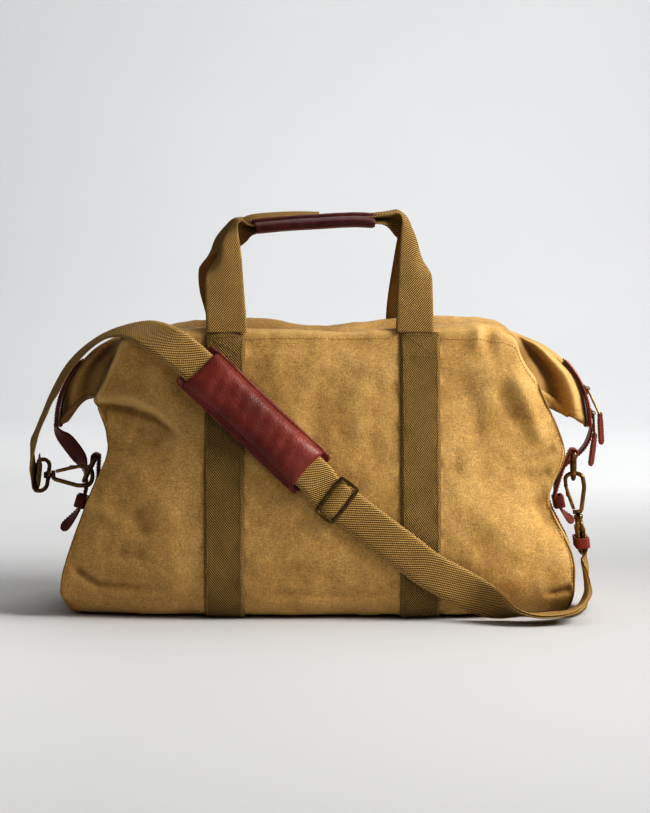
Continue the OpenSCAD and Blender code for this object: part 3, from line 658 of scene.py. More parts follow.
# ------------------------------------------------- folds pressed in the canvas
def off_line(x, z, line):
    """Signed distance from a polyline (left of its run is positive) and how far along it, 0 to 1."""
    line = np.asarray(line, float)
    best = np.full(x.shape, 1e9)
    signed, share = np.zeros(x.shape), np.zeros(x.shape)
    s = lengths(line)
    for k in range(len(line) - 1):
        a, d = line[k], line[k + 1] - line[k]
        t = ((x - a[0]) * d[0] + (z - a[1]) * d[1]) / (d @ d)
        c = np.clip(t, 0, 1)
        px, pz = x - a[0] - c * d[0], z - a[1] - c * d[1]
        distance = np.hypot(px, pz)
        side = np.sign(d[0] * (z - a[1]) - d[1] * (x - a[0]))
        near = distance < best
        best = np.where(near, distance, best)
        signed = np.where(near, distance * side, signed)
        share = np.where(near, (s[k] + c * (s[k + 1] - s[k])) / s[-1], share)
    return signed, share


def fold(x, z, line, width, height, kind="ridge", fade=(0.15, 0.25)):
    """One fold: a ridge; a lap, with a ridge on the line's left and a hollow on its right; or an overhang."""
    d, s = off_line(x, z, line)
    along_it = smoothstep(0, fade[1], 1 - s)
    if fade[0]:
        along_it = along_it * smoothstep(0, fade[0], s)
    if kind == "ridge":
        shape = bell(d, width)
    elif kind == "overhang":
        above = 0.5 + 0.5 * np.tanh(d / 1.5)
        shape = above * bell(d, 2.2 * width) - 0.85 * (1 - above) * bell(d, 1.5 * width)
    else:
        shape = (d / width) * np.exp(0.5 - 0.5 * (d / width) ** 2)
    return height * shape * along_it


FRONT_FOLDS = [
    ([(-236, 215), (-216, 216), (-196, 214), (-171, 206), (-153, 192), (-142, 176)], 8, 5.6, "overhang",
     (0.0, 0.5)),
    ([(-178, 262), (-172, 240), (-158, 222), (-140, 205)], 13, 3.6, "ridge", (0.3, 0.4)),
    ([(-196, 190), (-180, 184), (-160, 172)], 12, -2.6, "ridge", (0.2, 0.4)),
    ([(-256, 55), (-240, 42), (-228, 35), (-205, 33), (-150, 34)], 5, -3.4, "ridge", (0.1, 0.6)),
    ([(-190, 118), (-184, 100), (-178, 82)], 11, -3.0, "ridge", (0.3, 0.3)),
    ([(-214, 72), (-194, 66), (-176, 68)], 8, -2.6, "ridge", (0.3, 0.3)),
    ([(-232, 160), (-205, 150), (-176, 152)], 9, 2.2, "ridge", (0.2, 0.5)),
    ([(-246, 112), (-222, 108), (-198, 96)], 8, 2.0, "ridge", (0.2, 0.5)),
    ([(164, 298), (163, 282), (161, 262)], 6, -3.2, "lap", (0.1, 0.6)),
    ([(186, 262), (199, 234), (212, 204), (224, 170)], 9, 4.6, "ridge", (0.3, 0.2)),
    ([(172, 244), (186, 214), (200, 186)], 9, -2.4, "ridge", (0.3, 0.4)),
    ([(222, 148), (236, 122), (248, 92), (251, 62)], 9, 4.2, "ridge", (0.25, 0.35)),
    ([(214, 128), (227, 99), (232, 78)], 8, -3.2, "ridge", (0.3, 0.4)),
    ([(252, 30), (238, 25), (222, 22)], 4, -3.6, "ridge", (0.05, 0.5)),
    ([(137, 178), (135, 158), (133, 136)], 7, -1.8, "ridge", (0.3, 0.4)),
    ([(238, 172), (218, 162), (186, 160)], 6, -1.6, "ridge", (0.1, 0.7)),
    ([(234, 146), (212, 142), (176, 150)], 7, -1.5, "ridge", (0.1, 0.7)),
    ([(-224, 168), (-200, 158), (-168, 160)], 7, 1.8, "ridge", (0.2, 0.6)),
    ([(-20, 236), (-6, 206), (-10, 172), (4, 140)], 15, -2.0, "ridge", (0.3, 0.3)),
    ([(40, 250), (34, 216), (42, 180)], 14, 2.0, "ridge", (0.3, 0.3)),
    ([(150, 262), (146, 230), (158, 196), (150, 160)], 12, -2.2, "ridge", (0.3, 0.3)),
    ([(150, 120), (180, 96), (206, 60)], 14, 1.6, "ridge", (0.3, 0.4)),
    ([(-60, 262), (-20, 250), (30, 258), (66, 270)], 12, 1.3, "ridge", (0.3, 0.3)),
    ([(-60, 70), (-10, 60), (40, 66)], 12, 1.2, "ridge", (0.3, 0.3)),
    ([(-70, 28), (0, 24), (76, 27)], 6, -1.6, "ridge", (0.3, 0.3)),
]


def noise_field(points, scale, seed=0.0, octaves=3):
    """Smooth noise, -1 to 1, at millimetre points."""
    flat = points.reshape(-1, 3) / scale + seed
    values = [noise.fractal(Vector(p), 1.0, 2.0, octaves, noise_basis="PERLIN_ORIGINAL") for p in flat]
    return np.array(values).reshape(points.shape[:-1])


BANDS = {"front": (5.53, 8.45), "rear": (5.43, 8.27)}


WING_SINK = {"left": vec(5, 11, -2), "right": vec(-9, 21, -3)}
WING_LIP = {"left": vec(0, -3, 0), "right": vec(1, -9, 0)}


def wing_shape(u_out, v, side, mirror):
    """Behind its crease the wing is a pocket with a lip along the zip. u_out is 1 at the end seam, 0 inboard."""
    pocket = smoothstep(7.0, 7.4, v) * smoothstep(8.75, 8.0, v)
    lip = bell(v - 8.5, 0.2)
    flip = vec(1, mirror, 1)
    return (pocket * u_out)[..., None] * WING_SINK[side] * flip + (lip * u_out)[..., None] * WING_LIP[side] * flip


def panel_lift(p, u, v, name):
    """How far the panel's canvas stands off its smooth form."""
    x, z = p[..., 0], p[..., 2]
    face = smoothstep(7.3, 6.9, v) * smoothstep(1.0, 1.6, v)
    lift = np.zeros(x.shape)
    mirror = 1 if name == "front" else -1
    for line, width, height, kind, fade in FRONT_FOLDS:
        lift += face * fold(mirror * x, z, line, width, height, kind, fade)
    waves = noise_field(p * vec(1, 1, 0.8), 62, 3.1 if mirror > 0 else 8.7)
    small = noise_field(p, 17, 5.5)
    lift += 2.9 * waves * smoothstep(0.9, 1.8, v) + 0.5 * small
    for band in BANDS[name]:
        near = np.abs(u - band)
        lift += 0.7 * bell(near - 0.31, 0.06) * np.sin(z / 5.2 + 2 * small) * face
    seam = np.minimum(u, 14 - u)
    lift += 0.7 * bell(seam - 0.16, 0.07) * np.sin(z / 4.3 + 3 * small) * smoothstep(1.0, 2.0, v)
    lift += 1.1 * bell(v - 7.0, 0.07) - 0.9 * bell(v - 6.72, 0.14)
    return lift * smoothstep(0.0, 0.10, seam) * smoothstep(9.0, 8.86, v)


def gusset_lift(p, u, v, name):
    waves = noise_field(p, 55, 12.3 if name == "left" else 15.9)
    small = noise_field(p, 15, 6.5)
    seam = np.minimum(u, 4 - u)
    lift = 2.0 * waves + 0.45 * small
    lift -= 1.6 * bell(v - 6.9, 0.25) + 1.2 * bell(v - 3.0 - 0.3 * small, 0.2)
    return lift * smoothstep(0.0, 0.3, seam) * smoothstep(9.0, 8.8, v) * smoothstep(1.0, 1.4, v)


class Cloth:
    """A canvas panel: its smooth net, its folds, and points on the result."""

    def __init__(self, name, net, sign, columns, rows, lift):
        self.name, self.net, self.sign = name, net, sign
        self.u = self.even_steps(columns, False)
        self.v = self.even_steps(rows, True)
        u, v = np.meshgrid(self.u, self.v)
        base = surface(net, u, v)
        base[..., 2] -= 2.3 * bell(base[..., 2] - 2, 9)
        base = base + self.wings(u, v)
        normal = normals_of(net, u, v, sign)
        self.lifts = lift(base, u, v, name)
        self.points = base + normal * self.lifts[..., None]
        self.points[..., 2] = np.maximum(self.points[..., 2], 0.4)
        across = np.gradient(self.points, axis=1)
        down = np.gradient(self.points, axis=0)
        self.normals = sign * unit(np.cross(across, down))

    def wings(self, u, v):
        """The wings' pockets and lips, the same on both sides of the end seams."""
        if self.name in ("front", "rear"):
            mirror = 1 if self.name == "front" else -1
            return (wing_shape(smoothstep(3.9, 1.6, u), v, "left", mirror)
                    + wing_shape(smoothstep(10.1, 12.4, u), v, "right", mirror))
        near = wing_shape(smoothstep(1.3, 0.0, u), v, self.name, 1)
        far = wing_shape(smoothstep(2.7, 4.0, u), v, self.name, -1)
        return near + far

    def even_steps(self, count, rows):
        spans = len(self.net) - 1 if rows else len(self.net[0]) - 1
        low = 1.0 if rows else 0.0
        fine = np.linspace(low, spans, 800)
        other = np.full(800, (len(self.net[0]) - 1) / 2 if rows else 4.0)
        line = surface(self.net, other, fine) if rows else surface(self.net, fine, other)
        s = lengths(line)
        return np.interp(np.linspace(0, s[-1], count), s, fine)

    def at(self, u, v, lift=0.0):
        """Points and normals on the finished cloth."""
        u, v = np.broadcast_arrays(np.asarray(u, float), np.asarray(v, float))
        i = np.interp(v, self.v, np.arange(len(self.v)))
        j = np.interp(u, self.u, np.arange(len(self.u)))
        i0 = np.minimum(i.astype(int), len(self.v) - 2)
        j0 = np.minimum(j.astype(int), len(self.u) - 2)
        fi, fj = (i - i0)[..., None], (j - j0)[..., None]
        out = []
        for grid in (self.points, self.normals):
            top = grid[i0, j0] * (1 - fj) + grid[i0, j0 + 1] * fj
            low = grid[i0 + 1, j0] * (1 - fj) + grid[i0 + 1, j0 + 1] * fj
            out.append(top * (1 - fi) + low * fi)
        normal = unit(out[1])
        return out[0] + lift * normal, normal

    def curvature(self, step):
        """How far each point stands out of its surroundings, in mm."""
        p = self.points
        bend = np.zeros(p.shape[:2])
        inside = (slice(step, -step), slice(step, -step))
        around = (p[2 * step:, step:-step] + p[:-2 * step, step:-step]
                  + p[step:-step, 2 * step:] + p[step:-step, :-2 * step]) / 4
        bend[inside] = np.sum((p[inside] - around) * self.normals[inside], -1)
        return bend

    def soiling(self):
        """Painted shade: darker colour in the hollows, in the wings' pockets and just behind their creases."""
        u, v = np.meshgrid(self.u, self.v)
        deep = np.linalg.norm(self.wings(u, v), axis=-1) * smoothstep(8.75, 8.1, v)
        hollow = np.clip(-self.curvature(3) * 0.3, 0, 0.5) + np.clip(-self.curvature(9) * 0.06, 0, 0.3)
        under = bell(v - 7.0, 0.35) * smoothstep(7.0, 7.06, v) * 0.5
        return np.clip(hollow + deep / 34 + under * (deep > 0.4), 0, 1)

    def make(self, piece, material, node):
        n, m = self.points.shape[:2]
        inner = self.points - self.normals * 1.7
        points = np.concatenate([self.points.reshape(-1, 3), inner.reshape(-1, 3)])
        flip = self.sign > 0
        faces = list(grid_faces(n, m, 0, flip=not flip)) + list(grid_faces(n, m, n * m, flip=flip))
        rim = grid_rim(n, m)
        following = np.roll(rim, -1)
        walls = np.stack([rim, following, following + n * m, rim + n * m], -1)
        faces += list(walls if not flip else walls[:, ::-1])
        # Paler where the cloth stands out: partly rubbed wear, partly painted highlight on the fold ridges.
        wear = np.clip(0.04 + self.curvature(3) * 0.6, 0, 1)
        wear = np.concatenate([wear.ravel(), np.zeros(n * m)])
        # Painted shade in the hollows and the wings' pockets.
        soil = np.concatenate([self.soiling().ravel(), np.zeros(n * m)])
        return add_piece(piece, points, faces, material, "bag", (node,), "canvas", wear=wear, soil=soil)

    def make_lining(self, material, node):
        """Loose lining behind the canvas, cut short of the seams."""
        keep_u = np.flatnonzero((self.u > 0.45) & (self.u < 13.55))[::3]
        keep_v = np.flatnonzero((self.v > 1.25) & (self.v < 8.8))[::2]
        at = np.ix_(keep_v, keep_u)
        grid = self.points[at] - self.normals[at] * 3.4
        lining = Bundle()
        n, m = grid.shape[:2]
        shell = np.concatenate([grid.reshape(-1, 3), (grid - self.normals[at] * 0.6).reshape(-1, 3)])
        lining.add(shell, list(grid_faces(n, m)) + list(grid_faces(n, m, n * m, flip=True)))
        lining.make(f"lining_{self.name}_cloth", material, "bag", replaced=(node,), slot="lining")


# ---------------------------------------------------------------- the pieces
def make_body(mats):
    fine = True
    size = (340, 190, 90, 150) if fine else (220, 120, 60, 100)
    cloth = {
        "front": Cloth("front", FRONT_NET, 1, size[0], size[1], panel_lift),
        "rear": Cloth("rear", REAR_NET, -1, size[0], size[1], panel_lift),
        "left": Cloth("left", LEFT_NET, -1, size[2], size[3], gusset_lift),
        "right": Cloth("right", RIGHT_NET, 1, size[2], size[3], gusset_lift)}
    for name in ("front", "rear"):
        cloth[name].make(f"canvas_{name}", mats["canvas"], f"{name}_panel")
    for name in ("front", "rear"):
        cloth[name].make_lining(mats["lining"], f"lining_{name}")
    for name in ("left", "right"):
        cloth[name].make(f"canvas_end_{name}", mats["canvas"], f"end_gusset_{name}")
    return cloth


def make_seams(cloth, mats):
    """Piped end seams and the rows of stitching beside them."""
    thread = Bundle()
    for name in ("front", "rear"):
        panel = cloth[name]
        for end in (0, 14):
            s = 1 if end == 0 else -1
            rows = np.linspace(1.1, 8.75, 260)
            welt, normal = panel.at(end + s * 0.03, rows, 0.4)
            pipe = Bundle()
            pipe.tube(evenly(welt - 0.5 * normal, 300)[0], 1.1, 10)
            side = "left" if end == 0 else "right"
            pipe.make(f"end_seam_{name}_{side}", mats["canvas_shaded"], "bag", slot="canvas")
            line, normal = panel.at(end + s * 0.26, rows, 0.1)
            stitches(thread, line, normal, *SEAM_STITCH)
        crest = np.linspace(0.5, 13.5, 500)
        line, normal = panel.at(crest, 6.86, 0.1)
        keep = np.ones(len(crest), bool)
        for band in BANDS[name]:
            keep &= np.abs(crest - band) > 0.33
        start = 0
        for stop in list(np.flatnonzero(np.diff(keep.astype(int)) != 0) + 1) + [len(crest)]:
            if keep[start] and stop - start > 8:
                stitches(thread, line[start:stop], normal[start:stop], *SEAM_STITCH)
            start = stop
    thread.make("canvas_stitching", mats["thread_canvas"], "bag", slot="canvas")


def make_base(mats):
    """The canvas base, its rim softened and its middle pressed up a little."""
    low, high = (np.array(corner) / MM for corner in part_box("base_panel"))
    half_x, half_y = (high[0] - low[0]) / 2, (high[1] - low[1]) / 2
    n, m = 40, 120
    a = np.linspace(0, 2 * math.pi, m, endpoint=False)
    k = 0.11
    ring = np.stack([squared(np.cos(a), k) * half_x, squared(np.sin(a), k) * half_y], -1)
    share = np.linspace(0.02, 1, n)[:, None, None]
    flat = ring[None] * share
    edge = smoothstep(1.0, 0.97, share)[..., 0] * np.ones((n, m))
    top = np.concatenate([flat, (1.3 + 1.4 * edge)[..., None]], -1)
    low_side = np.concatenate([flat, (1.2 - 1.0 * edge)[..., None]], -1)
    points = np.concatenate([top.reshape(-1, 3), low_side.reshape(-1, 3)])
    faces = list(grid_faces(n, m, 0, True)) + list(grid_faces(n, m, n * m, True, True))
    faces += [list(range(m))[::-1], [n * m + k for k in range(m)]]
    rim = (n - 1) * m + np.arange(m)
    faces += list(np.stack([rim, rim + n * m, np.roll(rim, -1) + n * m, np.roll(rim, -1)], -1))
    add_piece("canvas_base", points, faces, mats["canvas"], "bag", ("base_panel",), "canvas", wear=0.1)


def make_band(cloth, name, node, u, mats, thread):
    """A handle's webbing sewn down the panel, with its side stitches and boxed crosses."""
    panel = cloth[name]
    rows = np.linspace(1.12, 6.97, 220)
    centre, _ = panel.at(u, rows)
    s = lengths(centre)
    rows = np.interp(np.linspace(0, s[-1], 220), s, rows)
    left, _ = panel.at(u - 0.06, rows)
    right, _ = panel.at(u + 0.06, rows)
    per = np.linalg.norm(right - left, axis=1) / 0.12
    across = np.linspace(-20.4, 20.4, 13)
    uu = u + across[None, :] / per[:, None]
    grid, normal = panel.at(uu, np.broadcast_to(rows[:, None], uu.shape), 1.5)
    slow = grid.copy()
    for _ in range(3):
        slow[1:-1] = (slow[:-2] + 2 * slow[1:-1] + slow[2:]) / 4
    grid = np.where((np.sum((slow - grid) * normal, -1, keepdims=True) > -0.4), slow, grid)
    # The bands take the darker copy of the webbing: painted shade.
    add_tape(f"webbing_{node}", grid, normal, WEBBING_T, mats["webbing_band_shaded"], "bag", replaced=(node,),
             slot="webbing")
    over = lambda a, v: panel.at(u + a / np.interp(v, rows, per), v, 2.6)
    line = np.linspace(1.5, 6.8, 200)
    for a in (-17.2, 17.2):
        stitches(thread, *over(a, line), pitch=3.4, length=2.2, radius=0.33)
    top = np.interp(np.array([0, 30]), s[-1] - s[::-1], np.interp(s, s, rows)[::-1])
    v1, v0 = top[0] - 0.06, top[1]
    box = [((-15, 15), (v1, v1)), ((-15, 15), (v0, v0)), ((-15, 15), (v0, v1)), ((-15, 15), (v1, v0))]
    for (a0, a1), (b0, b1) in box:
        t = np.linspace(0, 1, 24)
        stitches(thread, *over(mixed(a0, a1, t), mixed(b0, b1, t)), pitch=3.0, length=2.1, radius=0.36)


# A handle's webbing: rows of near edge, folded middle and far edge.
LEG_LEFT = [
    [(-77, -89.5, 289), (-97.5, -89.5, 289), (-118, -89.5, 289)],
    [(-78, -82, 305), (-98.5, -82.5, 305), (-119, -82.5, 305)],
    [(-80, -70, 325), (-100, -70.5, 325), (-120.3, -70.5, 325)],
    [(-82, -57, 346), (-102, -58.5, 346), (-121, -57, 344)],
    [(-84, -44, 366), (-104, -46, 364), (-117, -36, 353)],
    [(-87, -32, 386), (-105, -33, 379), (-102, -14, 366)],
    [(-88.5, -24, 398), (-98, -18, 391), (-88, -4, 375)],
    [(-84, -19, 402.5), (-90, -9, 399), (-80, -5, 381)],
    [(-73, -19, 397.5), (-74, -5, 396), (-71, -17, 388.5)]]
MIDDLE = [
    [(-40, -20, 400.5), (-40, -5, 398), (-40, -20, 395)],
    [(-7, -20, 402.5), (-7, -5, 400), (-7, -20, 397)],
    [(30, -20, 404.5), (30, -5, 402), (30, -20, 399)]]
LEG_RIGHT = [
    [(74, -89.5, 289), (93, -89.5, 289), (112, -89.5, 289)],
    [(74.5, -82, 305), (93.5, -82.5, 305), (112, -82.5, 305)],
    [(75.5, -71, 324), (94, -72, 324), (112, -71.5, 324)],
    [(77, -57, 347), (95, -59, 347), (111.5, -56, 345)],
    [(78.5, -43, 369), (97, -45, 364), (108, -34, 353)],
    [(80.5, -31, 389), (97, -32, 379), (95, -13, 368)],
    [(82, -24, 403), (92, -17, 394), (84, -4, 379)],
    [(78, -19, 410.5), (84, -8, 403), (76, -5, 386)],
    [(64, -19, 408), (66, -5, 405), (62, -17, 398.5)]]


def handle_net(side):
    net = np.array(LEG_LEFT + MIDDLE + LEG_RIGHT[::-1], float)
    if side == "rear":
        net = net * vec(1, -1, 1) + vec(0, 0, 4)
        net[:, :, 0] -= 6 * smoothstep(410, 300, net[:, :, 2])
        net[:9, :, 0] -= np.array([1, 4, 8, 9, 9, 8, 5, 2, 0])[:, None]
    return net


def make_handle(side, mats):
    """Webbing that leaves the panel flat, folds in half and runs through a leather grip."""
    s = -1 if side == "front" else 1
    net = handle_net(side)
    v = np.linspace(0, len(net) - 1, 300)
    u = np.linspace(0, 2, 21)
    uu, vv = np.meshgrid(u, v)
    grid = surface(net, uu, vv)
    grid = evenly_rows(grid)
    across, down = np.gradient(grid, axis=1), np.gradient(grid, axis=0)
    normal = -s * unit(np.cross(across, down))
    body = f"handle_{side}"
    add_tape(f"webbing_{body}", grid, normal, HANDLE_WEBBING_T, mats["webbing_handle"], body,
             replaced=(f"handle_webbing_{side}",), slot="webbing")
    make_grip(side, s, mats)
    if side == "rear":
        top = [(-86, 12, 403.5), (-74, 10, 407.5), (-52, 10, 409.5), (-26, 11, 410.5), (-4, 12, 410)]
        edge, edge_n = tape_grid(top, [(0, -0.5, 1)] * 5, 13, 90, 7, crown=1.2)
        add_tape("webbing_rear_fold", edge, edge_n, FOLDED_WEBBING_T, mats["webbing_handle"], body, slot="webbing")


def evenly_rows(grid):
    """The same rows, spaced evenly by length down the middle."""
    middle = grid.mean(axis=1)
    s = lengths(middle)
    at = np.linspace(0, s[-1], len(grid))
    flat = grid.reshape(len(grid), -1)
    return np.stack([np.interp(at, s, column) for column in flat.T], -1).reshape(grid.shape)


HANDLE_X = {"front": [-97, -98, -100, -98, -94, -87, -74, -40, -7, 30, 58, 73, 82, 88, 92, 93, 94],
            "rear": [-104, -109, -115, -115, -109, -98, -78, -40, -7, 30, 58, 72, 80, 84, 86, 86, 86]}
HANDLE_Y = [89, 78, 64, 49, 33, 20, 15, 14, 14, 14, 14, 17, 28, 43, 62, 78, 89]
HANDLE_Z = [296, 320, 346, 369, 388, 397, 395, 398, 400, 402, 401, 401, 393, 376, 350, 320, 296]


def make_grip(side, s, mats):
    """Thick leather wrapped round the folded webbing, closed by a seam along its lower front."""
    lift = 0 if side == "front" else 4
    path = np.array([[x, s * y, z + lift] for x, y, z in zip(HANDLE_X[side], HANDLE_Y, HANDLE_Z)])
    u = np.linspace(6.12, 9.84, 90)
    centre = along(path, u)
    tangent = unit(np.gradient(centre, axis=0))
    face = vec(0, s * 15, 99)
    face = unit(face - tangent * (tangent @ face)[:, None])
    side_way = np.cross(tangent, face)
    a = np.linspace(0, 2 * math.pi, 48, endpoint=False)
    power = 0.72
    wide, thick = 12.6 * squared(np.cos(a), power), 5.1 * squared(np.sin(a), power)
    ends = np.minimum(np.arange(90), np.arange(90)[::-1])
    swell = 1 - 0.10 * np.exp(-ends / 1.2)
    ripple = 1 + 0.012 * np.sin(centre[:, 0] / 5.1) + 0.01 * np.sin(centre[:, 0] / 2.3 + 1)
    r = (swell * ripple)[:, None, None]
    ring = centre[:, None] + r * (wide[None, :, None] * side_way[:, None] + thick[None, :, None] * face[:, None])
    grip = Bundle()
    inner = centre[:, None] + 0.8 * (wide[None, :, None] * side_way[:, None]
                                     + thick[None, :, None] * face[:, None])
    n = len(centre)
    worn = np.broadcast_to(np.exp(-ends / 1.5)[:, None] * 0.6, (n, 48)).ravel()
    points = np.concatenate([ring.reshape(-1, 3), inner.reshape(-1, 3)])
    caps = []
    for row in (0, n - 1):
        first = row * 48 + np.arange(48)
        quad = np.stack([first, np.roll(first, -1), np.roll(first, -1) + n * 48, first + n * 48], -1)
        caps += list(quad[:, ::-1] if row == 0 else quad)
    grip.add(points, list(grid_faces(n, 48, 0, True)) + caps
             + list(grid_faces(n, 48, n * 48, True, True)), wear=np.concatenate([worn, worn]))
    flap = []
    for t in np.linspace(0, 1, 9):
        angle = math.radians(-20 - 50 * t) if s < 0 else math.radians(200 + 50 * t)
        flap.append((13.0 * math.cos(angle) * (1 + 0.02 * t), 5.7 * math.sin(angle)))
    across = np.array(flap)
    sheet = (centre[2:-2, None] - s * across[None, :, :1] * side_way[2:-2, None]
             + across[None, :, 1:] * face[2:-2, None])
    out = unit(sheet - centre[2:-2, None])
    points, faces, _ = strap_shell(sheet, out, 1.3, 0.6)
    grip.add(points, faces, wear=0.55)
    grip.make(f"grip_{side}", mats["grip_leather_shaded"], f"handle_{side}", replaced=(f"handle_grip_{side}",),
              slot="leather")
    thread = Bundle()
    line = sheet[:, 2] + out[:, 2] * 0.6
    stitches(thread, line, out[:, 2], 3.4, 2.3, 0.3)
    thread.make(f"grip_stitching_{side}", mats["thread_leather"], f"handle_{side}", slot="leather")


# ------------------------------------------------------------- shoulder strap
HOOK_L, LOOP_L, WIRE_R, GATE_R = 41, 12, 2.1, 1.5
REACH = HOOK_L + 5.2 + LOOP_L
TAB_Y = -17
HOOK = {
    "left": dict(at=vec(-241.5, TAB_Y, 136), d=vec(-1, 0, 0.02), n=vec(0, -1, 0), loop_n=vec(0, -0.66, 0.75)),
    "right": dict(at=vec(262.2, TAB_Y, 139), d=unit(vec(0.12, 0, -0.993)), n=vec(-0.45, -0.89, -0.05),
                  loop_n=vec(1, 0, 0.12))}
for hook in HOOK.values():
    hook["d"] = unit(hook["d"])
    hook["bar"] = hook["at"] + REACH * hook["d"]
LEFT_BAR, RIGHT_BAR = HOOK["left"]["bar"], HOOK["right"]["bar"]
PAD_FROM, PAD_TO = vec(-138, -103, 266), vec(-6, -132, 144)
PAD_D = unit(PAD_TO - PAD_FROM)
PAD_N = vec(0, -0.965, 0.262)
PAD_AT = mixed(PAD_FROM, PAD_TO, 0.5) + vec(2, 0, -2)
ADJUSTER_AT = vec(14, -132.5, 123)
ADJUSTER_D = unit(vec(0.796, 0, -0.605))
ADJUSTER_N = vec(0, -1, 0)
TURN_R = 2.1 + 1 + 0.6
LEFT_D, LEFT_E = unit(vec(0, 0.66, -0.75)), vec(1, 0, 0)
RIGHT_D, RIGHT_E = -HOOK["right"]["d"], vec(-0.993, 0, -0.12)


def turn(at, d, e):
    """Webbing's turn round a hook's bar: points and outward directions."""
    angles = np.radians([30, 60, 90, 120, 150])
    points = [at + (TURN_R - k / 18) * e - k * d for k in (26, 14, 5)] + [at + TURN_R * e]
    points += [at + TURN_R * (math.cos(a) * e + math.sin(a) * d) for a in angles]
    points += [at - TURN_R * e - k * d for k in (0, 6, 15, 24)]
    out = [e] * 4 + [math.cos(a) * e + math.sin(a) * d for a in angles] + [-e] * 4
    return points, out


TURN_POINTS, HANG_POINTS, PAD_POINTS = 13, 9, 5


def strap_route():
    left, left_out = turn(LEFT_BAR, LEFT_D, LEFT_E)
    right, right_out = turn(RIGHT_BAR, RIGHT_D, RIGHT_E)
    hang = [(-302.4, -38.5, 166), (-298, -41, 181), (-290, -36, 201), (-281, -28, 222), (-264, -26, 252),
            (-240, -30, 275), (-214, -44, 288.5), (-188, -71, 292), (-162, -96, 282)]
    hang_out = [(-1, -0.15, -0.1), (-0.96, -0.24, 0), (-0.95, -0.28, 0.2), (-0.9, -0.28, 0.35),
                (-0.76, -0.25, 0.6), (-0.52, -0.22, 0.83), (-0.3, -0.25, 0.93), (-0.15, -0.5, 0.85),
                (-0.1, -0.85, 0.5)]
    pad = [mixed(PAD_FROM, PAD_TO, k) for k in (0, 0.3, 0.62, 0.88, 1)]
    diagonal = [ADJUSTER_AT + k * ADJUSTER_D for k in (-13, 0, 30, 60, 90, 116)]
    low = [(140, -130, 34), (170, -135, 19), (205, -146, 8.5), (238, -138, 8.5), (257, -122, 13),
           (266, -100, 19), (271, -77, 23), (273.5, -57, 24), (274.6, -41, 26.5), (275.4, -28, 34),
           (275.7, -20, 45)]
    low_out = [(0, -1, 0), (0, -0.8, -0.5), (0, -0.15, -1), (0.05, -0.1, -1), (0.45, -0.3, -0.8),
               (0.85, -0.4, -0.4), (1, -0.4, -0.1), (1, -0.35, 0), (1, -0.35, 0), (1, -0.33, 0),
               (1, -0.25, 0.1)]
    points = left + hang + pad + diagonal + low + right[::-1]
    out = left_out + hang_out + [PAD_N] * 5 + [ADJUSTER_N] * 6 + low_out + right_out[::-1]
    return np.array(points, float), np.array(out, float)


def make_strap(mats):
    points, out = strap_route()
    grid, normal = tape_grid(points[1:], out[1:], 38, 900, 9, crown=0.5)
    add_tape("webbing_shoulder", grid, normal, WEBBING_T, mats["webbing"], "bag",
             replaced=("shoulder_strap",), slot="webbing")
    first = TURN_POINTS + HANG_POINTS + PAD_POINTS + 2
    inner, inner_n = tape_grid(points[first:-9], out[first:-9], 36.5, 420, 9)
    layer = inner - inner_n * 2.3
    layer[..., 2] = np.maximum(layer[..., 2], 1.6)
    add_tape("webbing_shoulder_return", layer, inner_n, HANDLE_WEBBING_T, mats["webbing"], "bag", slot="webbing")


def leather_slab(bundle, grid, normals, thickness, round_edge=1.1, wear=0.25):
    points, faces, uv = strap_shell(grid, normals, thickness, round_edge)
    m = grid.shape[1]
    edge = np.zeros((len(grid), 2 * m))
    edge[:, [0, m - 1, m, 2 * m - 1]] = 0.9
    edge[[0, -1]] = 0.9
    bundle.add(points, faces, uv, wear=np.maximum(edge.ravel(), wear))


def add_leather(name, node, grid, normals, mats, body="bag", thickness=LEATHER_T, round_edge=LEATHER_EDGE,
                wear=0.25):
    """One leather strip that stands for a CAD node."""
    strip = Bundle()
    leather_slab(strip, grid, normals, thickness, round_edge, wear)
    strip.make(name, mats["leather"], body, replaced=(node,), slot="leather")


def edge_stitches(thread, grid, normals, columns, rows, lift, *size):
    """Stitches down some columns of a strip."""
    for column in columns:
        n = normals[rows, column]
        stitches(thread, grid[rows, column] + n * lift, n, *size)


def make_pad(mats):
    """The shoulder pad: foam under leather, sewn down along its sides and open at its ends."""
    d, n = PAD_D, upright(PAD_N, PAD_D)
    side = np.cross(d, n)
    columns, rows = 81, 161
    t, s = np.meshgrid(np.linspace(-1, 1, columns), np.linspace(-1, 1, rows))
    length, width = 152, 52
    half_length = length / 2 * (1 - 0.035 * (1 - t ** 2) * np.abs(s) ** 6 + 0.012 * t * np.abs(s) ** 4)
    half_width = width / 2 * (1 - 0.03 * np.cos(np.pi * s) - 0.05 * np.clip((np.abs(s) - 0.93) / 0.07, 0, 1) ** 2)
    edge = (1 - np.abs(t)) * width / 2
    end = (1 - np.abs(s)) * length / 2
    across = 1 - np.clip((edge - 3.0) / 20, 0, 1)
    along_it = 1 - np.clip(end / 26, 0, 1)
    crown = (1 - across ** 3) ** 0.62
    puff = 5.2 + 6.0 * (1 - along_it ** 2) ** 0.8
    slow = (0.6 * np.sin(s * 7 + 1.3) * np.sin(t * 2.1) + 0.5 * np.sin(s * 15 + t * 3)
            + 0.3 * np.sin(s * 31 - 4 * t))
    height = -0.6 + puff * crown + 0.5 * slow * crown - 0.6 * bell(edge - 3.3, 0.7)
    height -= 1.0 * bell(end, 1.2)
    base = PAD_AT + d * (s * half_length)[..., None] + side * (t * half_width)[..., None]
    back = base - 2.3 * n
    finish_pad(mats, base, back, height, n, np.minimum(edge, end), crown)


